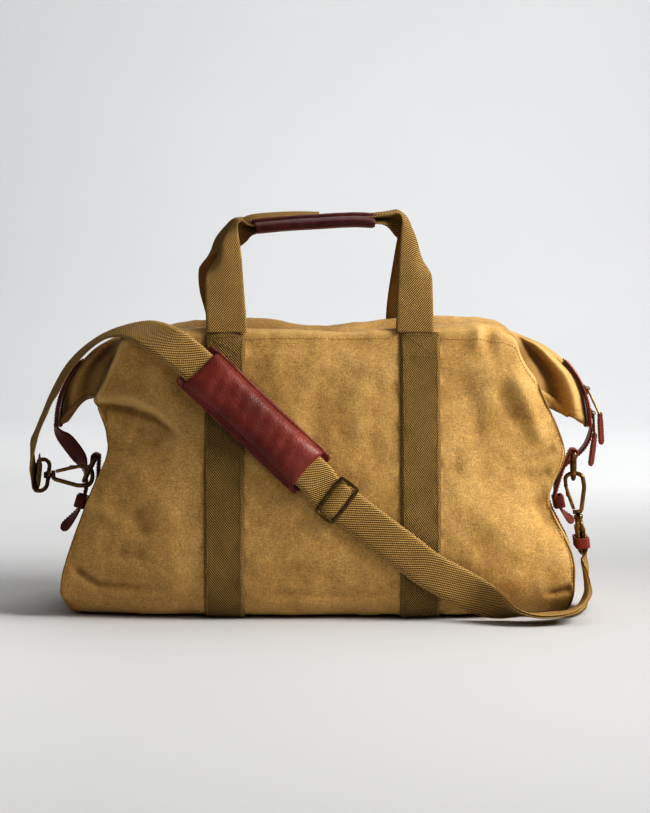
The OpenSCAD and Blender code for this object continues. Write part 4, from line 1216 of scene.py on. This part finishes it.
def finish_pad(mats, base, back, height, n, rim, crown):
    rows, columns = height.shape
    top = base + n * height[..., None]
    pad = Bundle()
    k = rows * columns
    outline = grid_rim(rows, columns)
    after = np.roll(outline, -1)
    walls = np.stack([outline, outline + k, after + k, after], -1)
    faces = list(grid_faces(rows, columns)) + list(grid_faces(rows, columns, k, flip=True)) + list(walls)
    worn = np.clip(0.12 + 0.5 * np.exp(-rim / 1.2) + 0.16 * crown, 0, 1).ravel()
    pad.add(np.concatenate([top.reshape(-1, 3), back.reshape(-1, 3)]), faces, wear=np.concatenate([worn, worn]))
    piece = pad.make("shoulder_pad_leather", mats["pad_leather"], "pad", replaced=("shoulder_pad",),
                     slot="leather")
    thread = Bundle()
    edge_stitches(thread, top, np.broadcast_to(n, top.shape), (5, -6), slice(2, -2), 0, *PAD_STITCH)
    thread.make("shoulder_pad_stitching", mats["thread_leather"], "pad", slot="leather")


def make_pad_backing(mats):
    """The pad's leather underlay, a little longer and wider than the pad, its edges curling up."""
    d, n = PAD_D, upright(PAD_N, PAD_D)
    side = np.cross(d, n)
    tt, ss = np.meshgrid(np.linspace(-1, 1, 27), np.linspace(-1, 1, 91))
    round_end = 1 - 0.07 * np.clip((np.abs(ss) - 0.93) / 0.07, 0, 1) ** 2
    curl = -3.3 + 1.9 * np.abs(tt) ** 5 + 1.2 * np.clip((np.abs(ss) - 0.88) / 0.12, 0, 1) ** 2 * np.abs(tt) ** 3
    grid = PAD_AT + d * (ss * 83.5)[..., None] + side * (tt * 26.8 * round_end)[..., None] + n * curl[..., None]
    across, down = np.gradient(grid, axis=1), np.gradient(grid, axis=0)
    normal = unit(np.cross(across, down))
    normal = normal * np.sign(np.sum(normal * n, -1, keepdims=True))
    add_leather("shoulder_pad_underlay", "pad_backing", grid, normal, mats, "pad", 1.6, 0.8, 0.15)


def local(at, d, n, points):
    """Points of a local frame (X along d, Z along n) in the bag's frame."""
    x = unit(d)
    z = upright(n, x)
    return at + np.asarray(points, float) @ np.stack([x, np.cross(z, x), z])


def rounded_path(points, radius, closed=False, steps=6):
    """A polyline with its corners rounded."""
    p = np.asarray(points, float)
    n = len(p)
    out = []
    for i in range(n):
        if not closed and i in (0, n - 1):
            out.append(p[i][None])
            continue
        before, after = p[i - 1] - p[i], p[(i + 1) % n] - p[i]
        r = min(radius, 0.48 * np.linalg.norm(before), 0.48 * np.linalg.norm(after))
        a, b = p[i] + unit(before) * r, p[i] + unit(after) * r
        t = np.linspace(0, 1, steps)[:, None]
        out.append((1 - t) ** 2 * a + 2 * t * (1 - t) * p[i] + t ** 2 * b)
    return np.concatenate(out)


def rectangle(half_x, half_y, corner, steps, *z):
    """A closed rectangle with rounded corners, in a plane or at a height z."""
    corners = [(-half_x, -half_y, *z), (half_x, -half_y, *z), (half_x, half_y, *z), (-half_x, half_y, *z)]
    return rounded_path(corners, corner, True, steps)


def closed_evenly(path, n):
    return evenly(np.concatenate([path, path[:1]]), n)[0][:-1]


def lathe(bundle, at, axis, profile, sides=36):
    """A turned piece: (distance along the axis, radius) pairs."""
    axis = unit(axis)
    ref = vec(0, 0, 1) if abs(axis[2]) < 0.9 else vec(1, 0, 0)
    u = unit(np.cross(axis, ref))
    w = np.cross(axis, u)
    a = np.linspace(0, 2 * math.pi, sides, endpoint=False)
    rim = np.cos(a)[:, None] * u + np.sin(a)[:, None] * w
    rings = np.stack([at + axis * x + rim * r for x, r in profile])
    n = len(profile)
    caps = [list(range(sides)), [(n - 1) * sides + k for k in range(sides)][::-1]]
    bundle.add(rings, list(grid_faces(n, sides, 0, True, True)) + caps)


def block(bundle, at, axes, size, power=0.3, steps=14):
    """A block with rounded edges."""
    a = np.linspace(-math.pi / 2, math.pi / 2, steps)
    b = np.linspace(0, 2 * math.pi, 2 * steps, endpoint=False)
    bb, aa = np.meshgrid(b, a)
    ca, sa, cb, sb = (squared(f, power) for f in (np.cos(aa), np.sin(aa), np.cos(bb), np.sin(bb)))
    p = np.stack([ca * cb, ca * sb, sa], -1)
    points = at + (p * np.asarray(size, float) / 2) @ np.stack([unit(x) for x in axes])
    bundle.add(points, grid_faces(steps, 2 * steps, 0, True))


def add_flat_wire(bundle, line, up, wide, high):
    """A closed frame of flat bar with softened corners."""
    n = len(line)
    tangent = unit(np.roll(line, -1, 0) - np.roll(line, 1, 0))
    side = np.cross(tangent, up)
    section = rectangle(wide / 2, high / 2, 0.6, 4)
    ring = line[:, None] + section[None, :, :1] * side[:, None] + section[None, :, 1:] * up
    m = len(section)
    bundle.add(ring, grid_faces(n + 1, m, 0, True) % (n * m))


def leather_loop(bundle, at, run, out, width, depth, height, wall, corner=2.6):
    """A loop of leather round a strap: width along the strap's run, depth across it, height outwards."""
    run = unit(run)
    out = upright(out, run)
    side = np.cross(run, out)
    d, h = (depth - wall) / 2, (height - wall) / 2
    path = rectangle(d, h, corner, 7)
    following = np.roll(path, -1, 0) - np.roll(path, 1, 0)
    outward = unit(np.stack([following[:, 1], -following[:, 0]], -1))
    section = rectangle(width / 2, wall / 2, 0.7, 4)
    centre = at + path[:, :1] * side + path[:, 1:] * out
    push = outward[:, :1] * side + outward[:, 1:] * out
    ring = centre[:, None] + section[None, :, :1] * run + section[None, :, 1:] * push[:, None]
    n, m = ring.shape[:2]
    worn = np.broadcast_to(np.clip(np.abs(section[:, 0]) / (width / 2) - 0.8, 0, 1) * 4, (n, m)).ravel()
    bundle.add(ring, grid_faces(n + 1, m, 0, True, True) % (n * m), wear=np.clip(worn, 0.15, 0.9))


def make_rings_and_hooks(mats):
    rings = {"left": (vec(-238, TAB_Y, 156), unit(vec(-12.5, 0, -25))),
             "right": (vec(262, TAB_Y, 161), vec(0, 0, -1))}
    for side, (at, d) in rings.items():
        ring = Bundle()
        a = np.radians(np.linspace(90, -90, 40))
        arc = np.stack([15.5 + 12.5 * np.cos(a), 12.5 * np.sin(a), 0 * a], -1)
        bar = rounded_path([arc[-1], (0, -12.5, 0), (0, 12.5, 0), arc[0]], 2.2, False, 8)
        path = local(at, d, np.cross(vec(0, 1, 0), d), np.concatenate([arc, bar[1:-1]]))
        ring.tube(closed_evenly(path, 140), WIRE_R, 16, True, np.cross(vec(0, 1, 0), d))
        ring.make(f"d_ring_{side}_wire", mats["brass"], f"ring_{side}", replaced=(f"d_ring_{side}",),
                  slot="antique_brass")
    for side, hook in HOOK.items():
        make_hook(side, hook, mats)


def make_hook(side, hook, mats):
    at, d, n = hook["at"], hook["d"], hook["n"]
    a = np.radians(np.linspace(-90, 90, 24))
    bend = [(6 * (1 - math.cos(k)), 9.8 * math.sin(k), 0) for k in a]
    path = [(11.4, -10.1, 0)] + bend + [(15, 10.4, 0), (HOOK_L - 2, 4.2, 0), (HOOK_L, 2.6, 0), (HOOK_L, -5, 0)]
    path = evenly(rounded_path(path, 3, False, 5), 110)[0]
    k = np.linspace(0, 1, 110)
    radius = WIRE_R * (0.86 + 0.16 * smoothstep(0, 0.1, k) + 0.05 * np.sin(k * 3))
    body = Bundle()
    body.tube(local(at, d, n, path), np.minimum(radius, 2.2), 18, up=upright(n, d))
    tip = local(at, d, n, [(12.2, -10.1, 0)])[0]
    block(body, tip, (d, np.cross(n, d), n), (3.2, 4.0, 4.0), 0.6)
    post = [(0, 0.1), (0, 2.15), (8, 2.15), (8, 3.2), (8.25, 3.4), (9.5, 3.4), (9.8, 3.0), (9.8, 0.1)]
    lathe(body, at + HOOK_L * d, d, post)
    lathe(body, at + (HOOK_L - 2.2) * d, d, [(0, 0.1), (0.2, 2.6), (0.8, 3.5), (2.9, 3.6), (3.3, 3.2), (3.3, 0.1)])
    body.make(f"hook_{side}_body", mats["brass"], f"snap_{side}", replaced=(f"hook_{side}",), slot="antique_brass")
    gate = Bundle()
    line = evenly(vec((12.6, -10.3, 0), (24, -7.8, 0), (38.2, -4.1, 0)), 40)[0]
    gate.tube(local(at, d, n, line), GATE_R * (1.12 + 0.14 * np.sin(np.linspace(0, 3.1, 40))), 14,
              up=upright(n, d))
    knob = local(at, d, n, [(21, -9.6, 0)])[0]
    block(gate, knob, (d, np.cross(n, d), n), (6.5, 2.6, 2.8), 0.55)
    gate.make(f"hook_gate_{side}_bar", mats["brass_light"], f"gate_{side}", replaced=(f"hook_gate_{side}",),
              slot="antique_brass")
    loop = Bundle()
    half = 38 / 2 + WIRE_R + 1.3
    outline = [(LOOP_L, -3.4, 0), (LOOP_L, 8 - half, 0), (LOOP_L - 1.5, 3.5 - half, 0), (LOOP_L - 5, -half, 0),
               (1.6, -half, 0), (0, 1.6 - half, 0), (0, half - 1.6, 0), (1.6, half, 0), (LOOP_L - 5, half, 0),
               (LOOP_L - 1.5, half - 3.5, 0), (LOOP_L, half - 8, 0), (LOOP_L, 3.4, 0)]
    line = evenly(rounded_path(outline, 1.6, False, 5), 150)[0]
    bar, e, ln = hook["bar"], -d, hook["loop_n"]
    loop.tube(local(bar, e, ln, line), WIRE_R, 16, up=upright(ln, e))
    hub = [(-2.3, 2.26), (-2.3, 4.1), (-1.9, 4.6), (1.9, 4.6), (2.3, 4.1), (2.3, 2.26), (-2.3, 2.26)]
    lathe(loop, bar + LOOP_L * e, e, hub)
    loop.make(f"swivel_loop_{side}_wire", mats["brass"], f"loop_{side}", replaced=(f"swivel_loop_{side}",),
              slot="antique_brass")


def make_ring_tabs(mats):
    """The folded leather tabs that hold the D-rings, each sewn along both edges below its ring."""
    bend = WIRE_R + 1.2 + 0.3
    for side, s, at, foot, foot_out in (("left", -1, vec(-238, TAB_Y, 156), vec(-241, TAB_Y, 112), vec(1, 0, 0)),
                                        ("right", 1, vec(262, TAB_Y, 161), vec(241, TAB_Y, 112), vec(-1, 0, 0))):
        away = unit(vec(foot[0] - at[0], 0, foot[2] - at[2]))
        out = s * vec(-away[2], 0, away[0])
        angles = np.radians([45, 90, 135])
        inner = [at + k * away - bend * out for k in (22, 10, 0)]
        curl = [at - bend * (math.cos(a) * out + math.sin(a) * away) for a in angles]
        points = [foot] + inner + curl + [at + bend * out, at + 9 * away + bend * out]
        normals = [foot_out] + [-out] * 3 + [-math.cos(a) * out - math.sin(a) * away for a in angles] + [out] * 2
        grid, normal = tape_grid(points, normals, 19.8, 120, 11)
        add_leather(f"ring_tab_{side}_leather", f"ring_tab_{side}", grid, normal, mats)
        thread = Bundle()
        for column in (1, 9):
            for facing, lift in ((normal, 1.2), (-normal, 1.3)):
                edge_stitches(thread, grid, facing, (column,), slice(4, 60), lift, *TAB_STITCH)
        thread.make(f"ring_tab_{side}_stitching", mats["thread_leather"], "bag", slot="leather")


CLOSING = {
    "right": ([(283, 8, 190), (282, 10, 178), (276, 14, 164), (265, 17, 152), (253, 18, 141), (247, 18, 128),
               (247, 18, 112), (251, 18, 100), (258, 18, 91), (266, 18, 83)],
              [(1, 0, 0), (1, 0, 0), (1, 0, -0.4), (0.7, 0, -0.7), (0.7, 0, -0.7), (1, 0, -0.2), (1, 0, 0.1),
               (0.8, 0, 0.6), (0.65, -0.2, 0.65), (0.5, -0.55, 0.5)]),
    "left": ([(-283, 8, 190), (-279, 10, 180), (-270, 13, 169), (-259, 16, 153), (-253, 18, 139), (-251, 18, 124),
              (-254, 18, 110), (-259, 18, 98), (-268, 18, 86), (-278, 18, 75)],
             [(-1, 0, 0), (-0.9, -0.6, 0), (-0.5, -1, -0.3), (-0.5, -0.9, -0.3), (-1, -0.3, -0.2), (-1, 0, 0),
              (-1, 0, 0.2), (-0.7, -0.1, 0.7), (-0.6, -0.35, 0.6), (-0.5, -0.55, 0.5)])}


def rounded_tip(grid, radius):
    """Draws the last rows of a strap in to a round end."""
    middle = grid[:, grid.shape[1] // 2][:, None]
    step = np.linalg.norm(np.diff(middle[:, 0], axis=0), axis=1)
    left = np.concatenate([np.cumsum(step[::-1])[::-1], [0]])
    inset = np.clip(1 - left / radius, 0, 0.96)
    return middle + (grid - middle) * np.sqrt(1 - inset ** 2)[:, None, None]


def make_end_leather(cloth, mats):
    """Strips up the ends, the closing straps that tie the wings down, and their keepers."""
    for side in ("left", "right"):
        panel = cloth[side]
        s = -1 if side == "left" else 1
        rows = np.linspace(2.2, 5.5, 110)
        middle, _ = panel.at(2.4, rows)
        wide, _ = panel.at(2.5, rows)
        per = np.linalg.norm(wide - middle, axis=1) / 0.1
        across = np.linspace(-12, 12, 11)
        uu = 2.4 + across[None] / per[:, None]
        grid, normal = panel.at(uu, np.broadcast_to(rows[:, None], uu.shape), 1.5)
        add_leather(f"end_strip_{side}_leather", f"end_strip_{side}", grid, normal, mats)
        thread = Bundle()
        edge_stitches(thread, grid, normal, (1, 9), slice(3, -3), 1.1, *STRIP_STITCH)
        points, out = CLOSING[side]
        grid, normal = tape_grid(points, out, 20, 160, 11)
        grid = rounded_tip(grid, 10)
        add_leather(f"closing_strap_{side}_leather", f"closing_strap_{side}", grid, normal, mats)
        edge_stitches(thread, grid, normal, (1, 9), slice(2, -2), 1.1, *STRIP_STITCH)
        thread.make(f"end_leather_stitching_{side}", mats["thread_leather"], "bag", slot="leather")
        keeper = Bundle()
        at = vec(-255.5, 18, 106) if s < 0 else vec(248.5, 18, 106)
        leather_loop(keeper, at + vec(1.5 * s, 0, 0), vec(0.3 if s < 0 else -0.2, 0, 1), vec(s, 0, 0.25),
                     13, 27, 11.5, 2)
        keeper.make(f"strap_keeper_{side}_leather", mats["leather"], "bag", replaced=(f"strap_keeper_{side}",),
                    slot="leather")


def make_strap_hardware(mats):
    keeper = Bundle()
    leather_loop(keeper, RIGHT_BAR - 14 * RIGHT_D, RIGHT_D, RIGHT_E, 11, 44, 14.4, 2, 4)
    keeper.make("webbing_keeper_leather", mats["leather_red"], "bag", replaced=("webbing_keeper",), slot="leather")
    slide = Bundle()
    half_l, half_w = 24 / 2 - 1.8, 46 / 2 - 1.6
    outline = closed_evenly(rectangle(half_l, half_w, 3.0, 8, 2.2), 120)
    n = upright(ADJUSTER_N, ADJUSTER_D)
    line = local(ADJUSTER_AT, ADJUSTER_D, n, outline)
    add_flat_wire(slide, line, n, 3.6, 2.0)
    cross = local(ADJUSTER_AT, ADJUSTER_D, n, evenly(vec((0, -half_w, -2.6), (0, half_w, -2.6)), 30)[0])
    slide.tube(cross, 1.2, 12, up=n)
    for sy in (-1, 1):
        post = local(ADJUSTER_AT, ADJUSTER_D, n, [(0, sy * half_w, z) for z in (-2.6, 0, 1.6)])
        slide.tube(evenly(post, 12)[0], 1.5, 12, up=ADJUSTER_D)
    over = [(-9.0, 0.2), (-5.5, 2.1), (0, 3.3), (5.5, 2.3), (9.2, 0.2)]
    points = local(ADJUSTER_AT, ADJUSTER_D, n, [(x, 0, z) for x, z in over])
    grid, normal = tape_grid(points, [n] * 5, 37, 60, 9, crown=0.4)
    add_tape("webbing_adjuster_bridge", grid, normal, FOLDED_WEBBING_T, mats["webbing"], "adjuster", slot="webbing")
    slide.make("slide_adjuster_frame", mats["brass_dark"], "adjuster", replaced=("slide_adjuster",),
               slot="antique_brass")


def ridge_arc(side, radius, low, high, count):
    s = -1 if side == "left" else 1
    a = np.radians(np.linspace(low, high, count))
    x = s * (RIDGE_CENTRE[0] + radius * np.cos(a))
    return (np.stack([x, 0 * a, RIDGE_CENTRE[1] + radius * np.sin(a)], -1),
            np.stack([s * np.cos(a), 0 * a, np.sin(a)], -1))


def zip_route():
    left, left_out = ridge_arc("left", RIDGE_R, -2, 68, 6)
    right, right_out = ridge_arc("right", RIDGE_R, 68, -2, 6)
    middle = np.array([(-172, 0, 286), (-130, 0, 288.5), (-70, 0, 284), (0, 0, 276), (70, 0, 284),
                       (130, 0, 291.5), (172, 0, 291.5)], float)
    return (np.concatenate([left, middle, right]),
            np.concatenate([left_out, np.tile(vec(0, 0, 1), (7, 1)), right_out]))


def make_zip(mats):
    path, out = zip_route()
    grid, normal = tape_grid(path - 3.4 * out, out, 26, 260, 7)
    add_tape("zip_tape_cloth", grid, normal, ZIP_TAPE_T, mats["zip_tape"], "bag", replaced=("zip_tape",),
             slot="zip_tape")
    u = np.linspace(0, len(path) - 1, 1400)
    line, facing = along(path - 1.0 * out, u), along(out, u)
    total = lengths(line)[-1]
    count = int(total / 1.75)
    line, facing = evenly(line, count, facing)
    facing = unit(facing)
    tangent = unit(np.gradient(line, axis=0))
    side = np.cross(tangent, facing)
    teeth = Bundle()
    corners = rectangle(0.5, 0.7, 0.3, 2)
    faces = list(grid_faces(3, len(corners), 0, True)) + [np.arange(len(corners))[::-1],
                                                         2 * len(corners) + np.arange(len(corners))]
    for i in range(count):
        s = 1 if i % 2 else -1
        rings = []
        for y, k in ((-0.9, 0.7), (0.9, 1.0), (2.5, 0.85)):
            tooth = corners[:, :1] * tangent[i] + corners[:, 1:] * facing[i]
            rings.append(line[i] + s * y * side[i] + k * tooth)
        teeth.add(np.stack(rings), faces)
    teeth.make("zip_coil_teeth", mats["brass_dark"], "bag", replaced=("zip_coil",), slot="antique_brass")
    for end in ("left", "right"):
        facings, thread = Bundle(), Bundle()
        for y in (-11, 11):
            arc, normals = ridge_arc(end, RIDGE_R + 1.2, -2, 48, 60)
            grid, normal = tape_grid(arc[::6] + vec(0, y, 0), normals[::6], 12, 70, 9)
            leather_slab(facings, grid, normal, 1.6, 0.8)
            edge_stitches(thread, grid, normal, (1, 7), slice(2, -2), 0.8, *FACING_STITCH)
        facings.make(f"zip_facing_{end}_leather", mats["leather_red"], "bag", replaced=(f"zip_facing_{end}",),
                     slot="leather")
        thread.make(f"zip_facing_{end}_stitching", mats["thread_leather"], "bag", slot="leather")


SLIDERS = {"upper": (21, vec(290.5, -8, 199), vec(292, -8.5, 172)),
           "lower": (6, vec(286.5, 5, 176), vec(283, 5.5, 148))}


def make_sliders(mats):
    for name, (angle, low, tip) in SLIDERS.items():
        a = math.radians(angle)
        out, run = vec(math.cos(a), 0, math.sin(a)), vec(-math.sin(a), 0, math.cos(a))
        centre = vec(RIDGE_CENTRE[0], 0, RIDGE_CENTRE[1])
        at = centre + (RIDGE_R + 2.4) * out
        slider = Bundle()
        block(slider, at + 1.1 * out, (run, np.cross(out, run), out), (11, 9, 2.3), 0.35)
        block(slider, at + 1.9 * out + 2.6 * run, (run, np.cross(out, run), out), (3.2, 4.6, 1.9), 0.5)
        eye = at + 3.4 * out
        k = np.linspace(0, 2 * math.pi, 30, endpoint=False)
        ring = eye + 2.1 * (np.cos(k)[:, None] * run + np.sin(k)[:, None] * out)
        slider.tube(ring, 0.62, 10, True, vec(0, 1, 0))
        slider.make(f"zip_slider_{name}_body", mats["brass"], f"slider_{name}", replaced=(f"zip_slider_{name}",),
                    slot="antique_brass")
        wire = Bundle()
        outline = rounded_path([eye + vec(0, -3, 0), eye + vec(0, 3, 0), low + vec(0, 3, 0), low + vec(0, -3, 0)],
                               1.3, True, 5)
        path = closed_evenly(outline, 90)
        wire.tube(path, 0.9, 12, True, np.cross(low - eye, vec(0, 1, 0)))
        wire.make(f"zip_pull_{name}_wire", mats["brass_light"], f"pull_{name}", replaced=(f"zip_pull_{name}",),
                  slot="antique_brass")
        make_pull_tab(name, low, tip, mats)


def make_pull_tab(name, low, tip, mats):
    d = unit(tip - low)
    face = upright(vec(0.72, -0.69, 0), d)
    side = np.cross(d, face)
    length = np.linalg.norm(tip - low) + 7.4
    s = np.linspace(0, 1, 50)
    half = 3.9 * np.minimum(1, np.sqrt(np.clip(1 - (1 - np.minimum(s, 1 - s) / 0.12).clip(0, 1) ** 2, 0.02, 1)))
    half = half * (1 - 0.12 * bell(s - 0.2, 0.12))
    t = np.linspace(-1, 1, 9)
    centre = low - 3.6 * d + s[:, None] * length * d
    grid = centre[:, None] + t[None, :, None] * half[:, None, None] * side
    add_leather(f"zip_tab_{name}_leather", f"zip_tab_{name}", grid, np.broadcast_to(face, grid.shape), mats,
                f"pull_{name}", 2.7, 1.0, 0.4)
    thread = Bundle()
    for column in (1, 7):
        for way in (-1, 1):
            facing = np.broadcast_to(face * way, grid.shape)
            edge_stitches(thread, grid, facing, (column,), slice(10, -4), 1.35, *PULL_STITCH)
    thread.make(f"zip_tab_{name}_stitching", mats["thread_leather"], f"pull_{name}", slot="leather")


def paint_inside(mats):
    """The stiff board kept from the CAD, hidden inside the bag's base."""
    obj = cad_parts["base_board"]
    obj.data.materials.clear()
    obj.data.materials.append(mats["board"])


def make_materials():
    return {
        "canvas": canvas_material(),
        # The end-seam piping takes a darker copy of the canvas: painted shade at the seams.
        "canvas_shaded": canvas_material("canvas_seam_shaded", 0.6),
        # One webbing in three brightnesses that stand in for light and shade: lightest on the shoulder strap, a
        # little darker on the handles, darkest on the bands down the panels, which is painted shade.
        "webbing": webbing_material("webbing", 1.18),
        "webbing_band_shaded": webbing_material("webbing_band_shaded", 0.72),
        "webbing_handle": webbing_material("webbing_handle", 0.95),
        "leather": leather_material("leather", 0.95),
        "leather_red": leather_material("leather_red", 1.5),
        # The grips take a darker copy of the leather: painted shade.
        "grip_leather_shaded": leather_material("grip_leather_shaded", 0.6),
        "pad_leather": leather_material("pad_leather", 1.2),
        "brass": brass_material("antique_brass", 1.0),
        "brass_light": brass_material("antique_brass_rubbed", 1.35),
        "brass_dark": brass_material("antique_brass_dark", 0.7),
        "zip_tape": cloth_tape_material("zip_tape", (0.05, 0.032, 0.013), (0.12, 0.08, 0.035), 900),
        "lining": cloth_tape_material("lining", (0.20, 0.17, 0.11), (0.34, 0.29, 0.20), 700),
        "board": cloth_tape_material("board", (0.17, 0.15, 0.11), (0.26, 0.23, 0.17), 300),
        "thread_canvas": thread_material("thread_canvas", (0.50, 0.31, 0.115)),
        "thread_leather": thread_material("thread_leather", (0.32, 0.12, 0.075)),
        "thread_webbing": thread_material("thread_webbing", (0.34, 0.215, 0.078))}


def main():
    bpy.context.scene.view_settings.view_transform = "Standard"
    bpy.context.scene.view_settings.look = "High Contrast"
    make_camera()
    make_lights()
    make_stage()
    mats = make_materials()
    cloth = make_body(mats)
    make_seams(cloth, mats)
    make_base(mats)
    thread = Bundle()
    for name, places in BANDS.items():
        for side, u in zip(("left", "right"), places):
            make_band(cloth, name, f"band_{name}_{side}", u, mats, thread)
    thread.make("band_stitching", mats["thread_webbing"], "bag", slot="webbing")
    for side in ("front", "rear"):
        make_handle(side, mats)
    make_strap(mats)
    make_pad(mats)
    make_pad_backing(mats)
    make_rings_and_hooks(mats)
    make_ring_tabs(mats)
    make_end_leather(cloth, mats)
    make_strap_hardware(mats)
    make_zip(mats)
    make_sliders(mats)
    paint_inside(mats)


main()
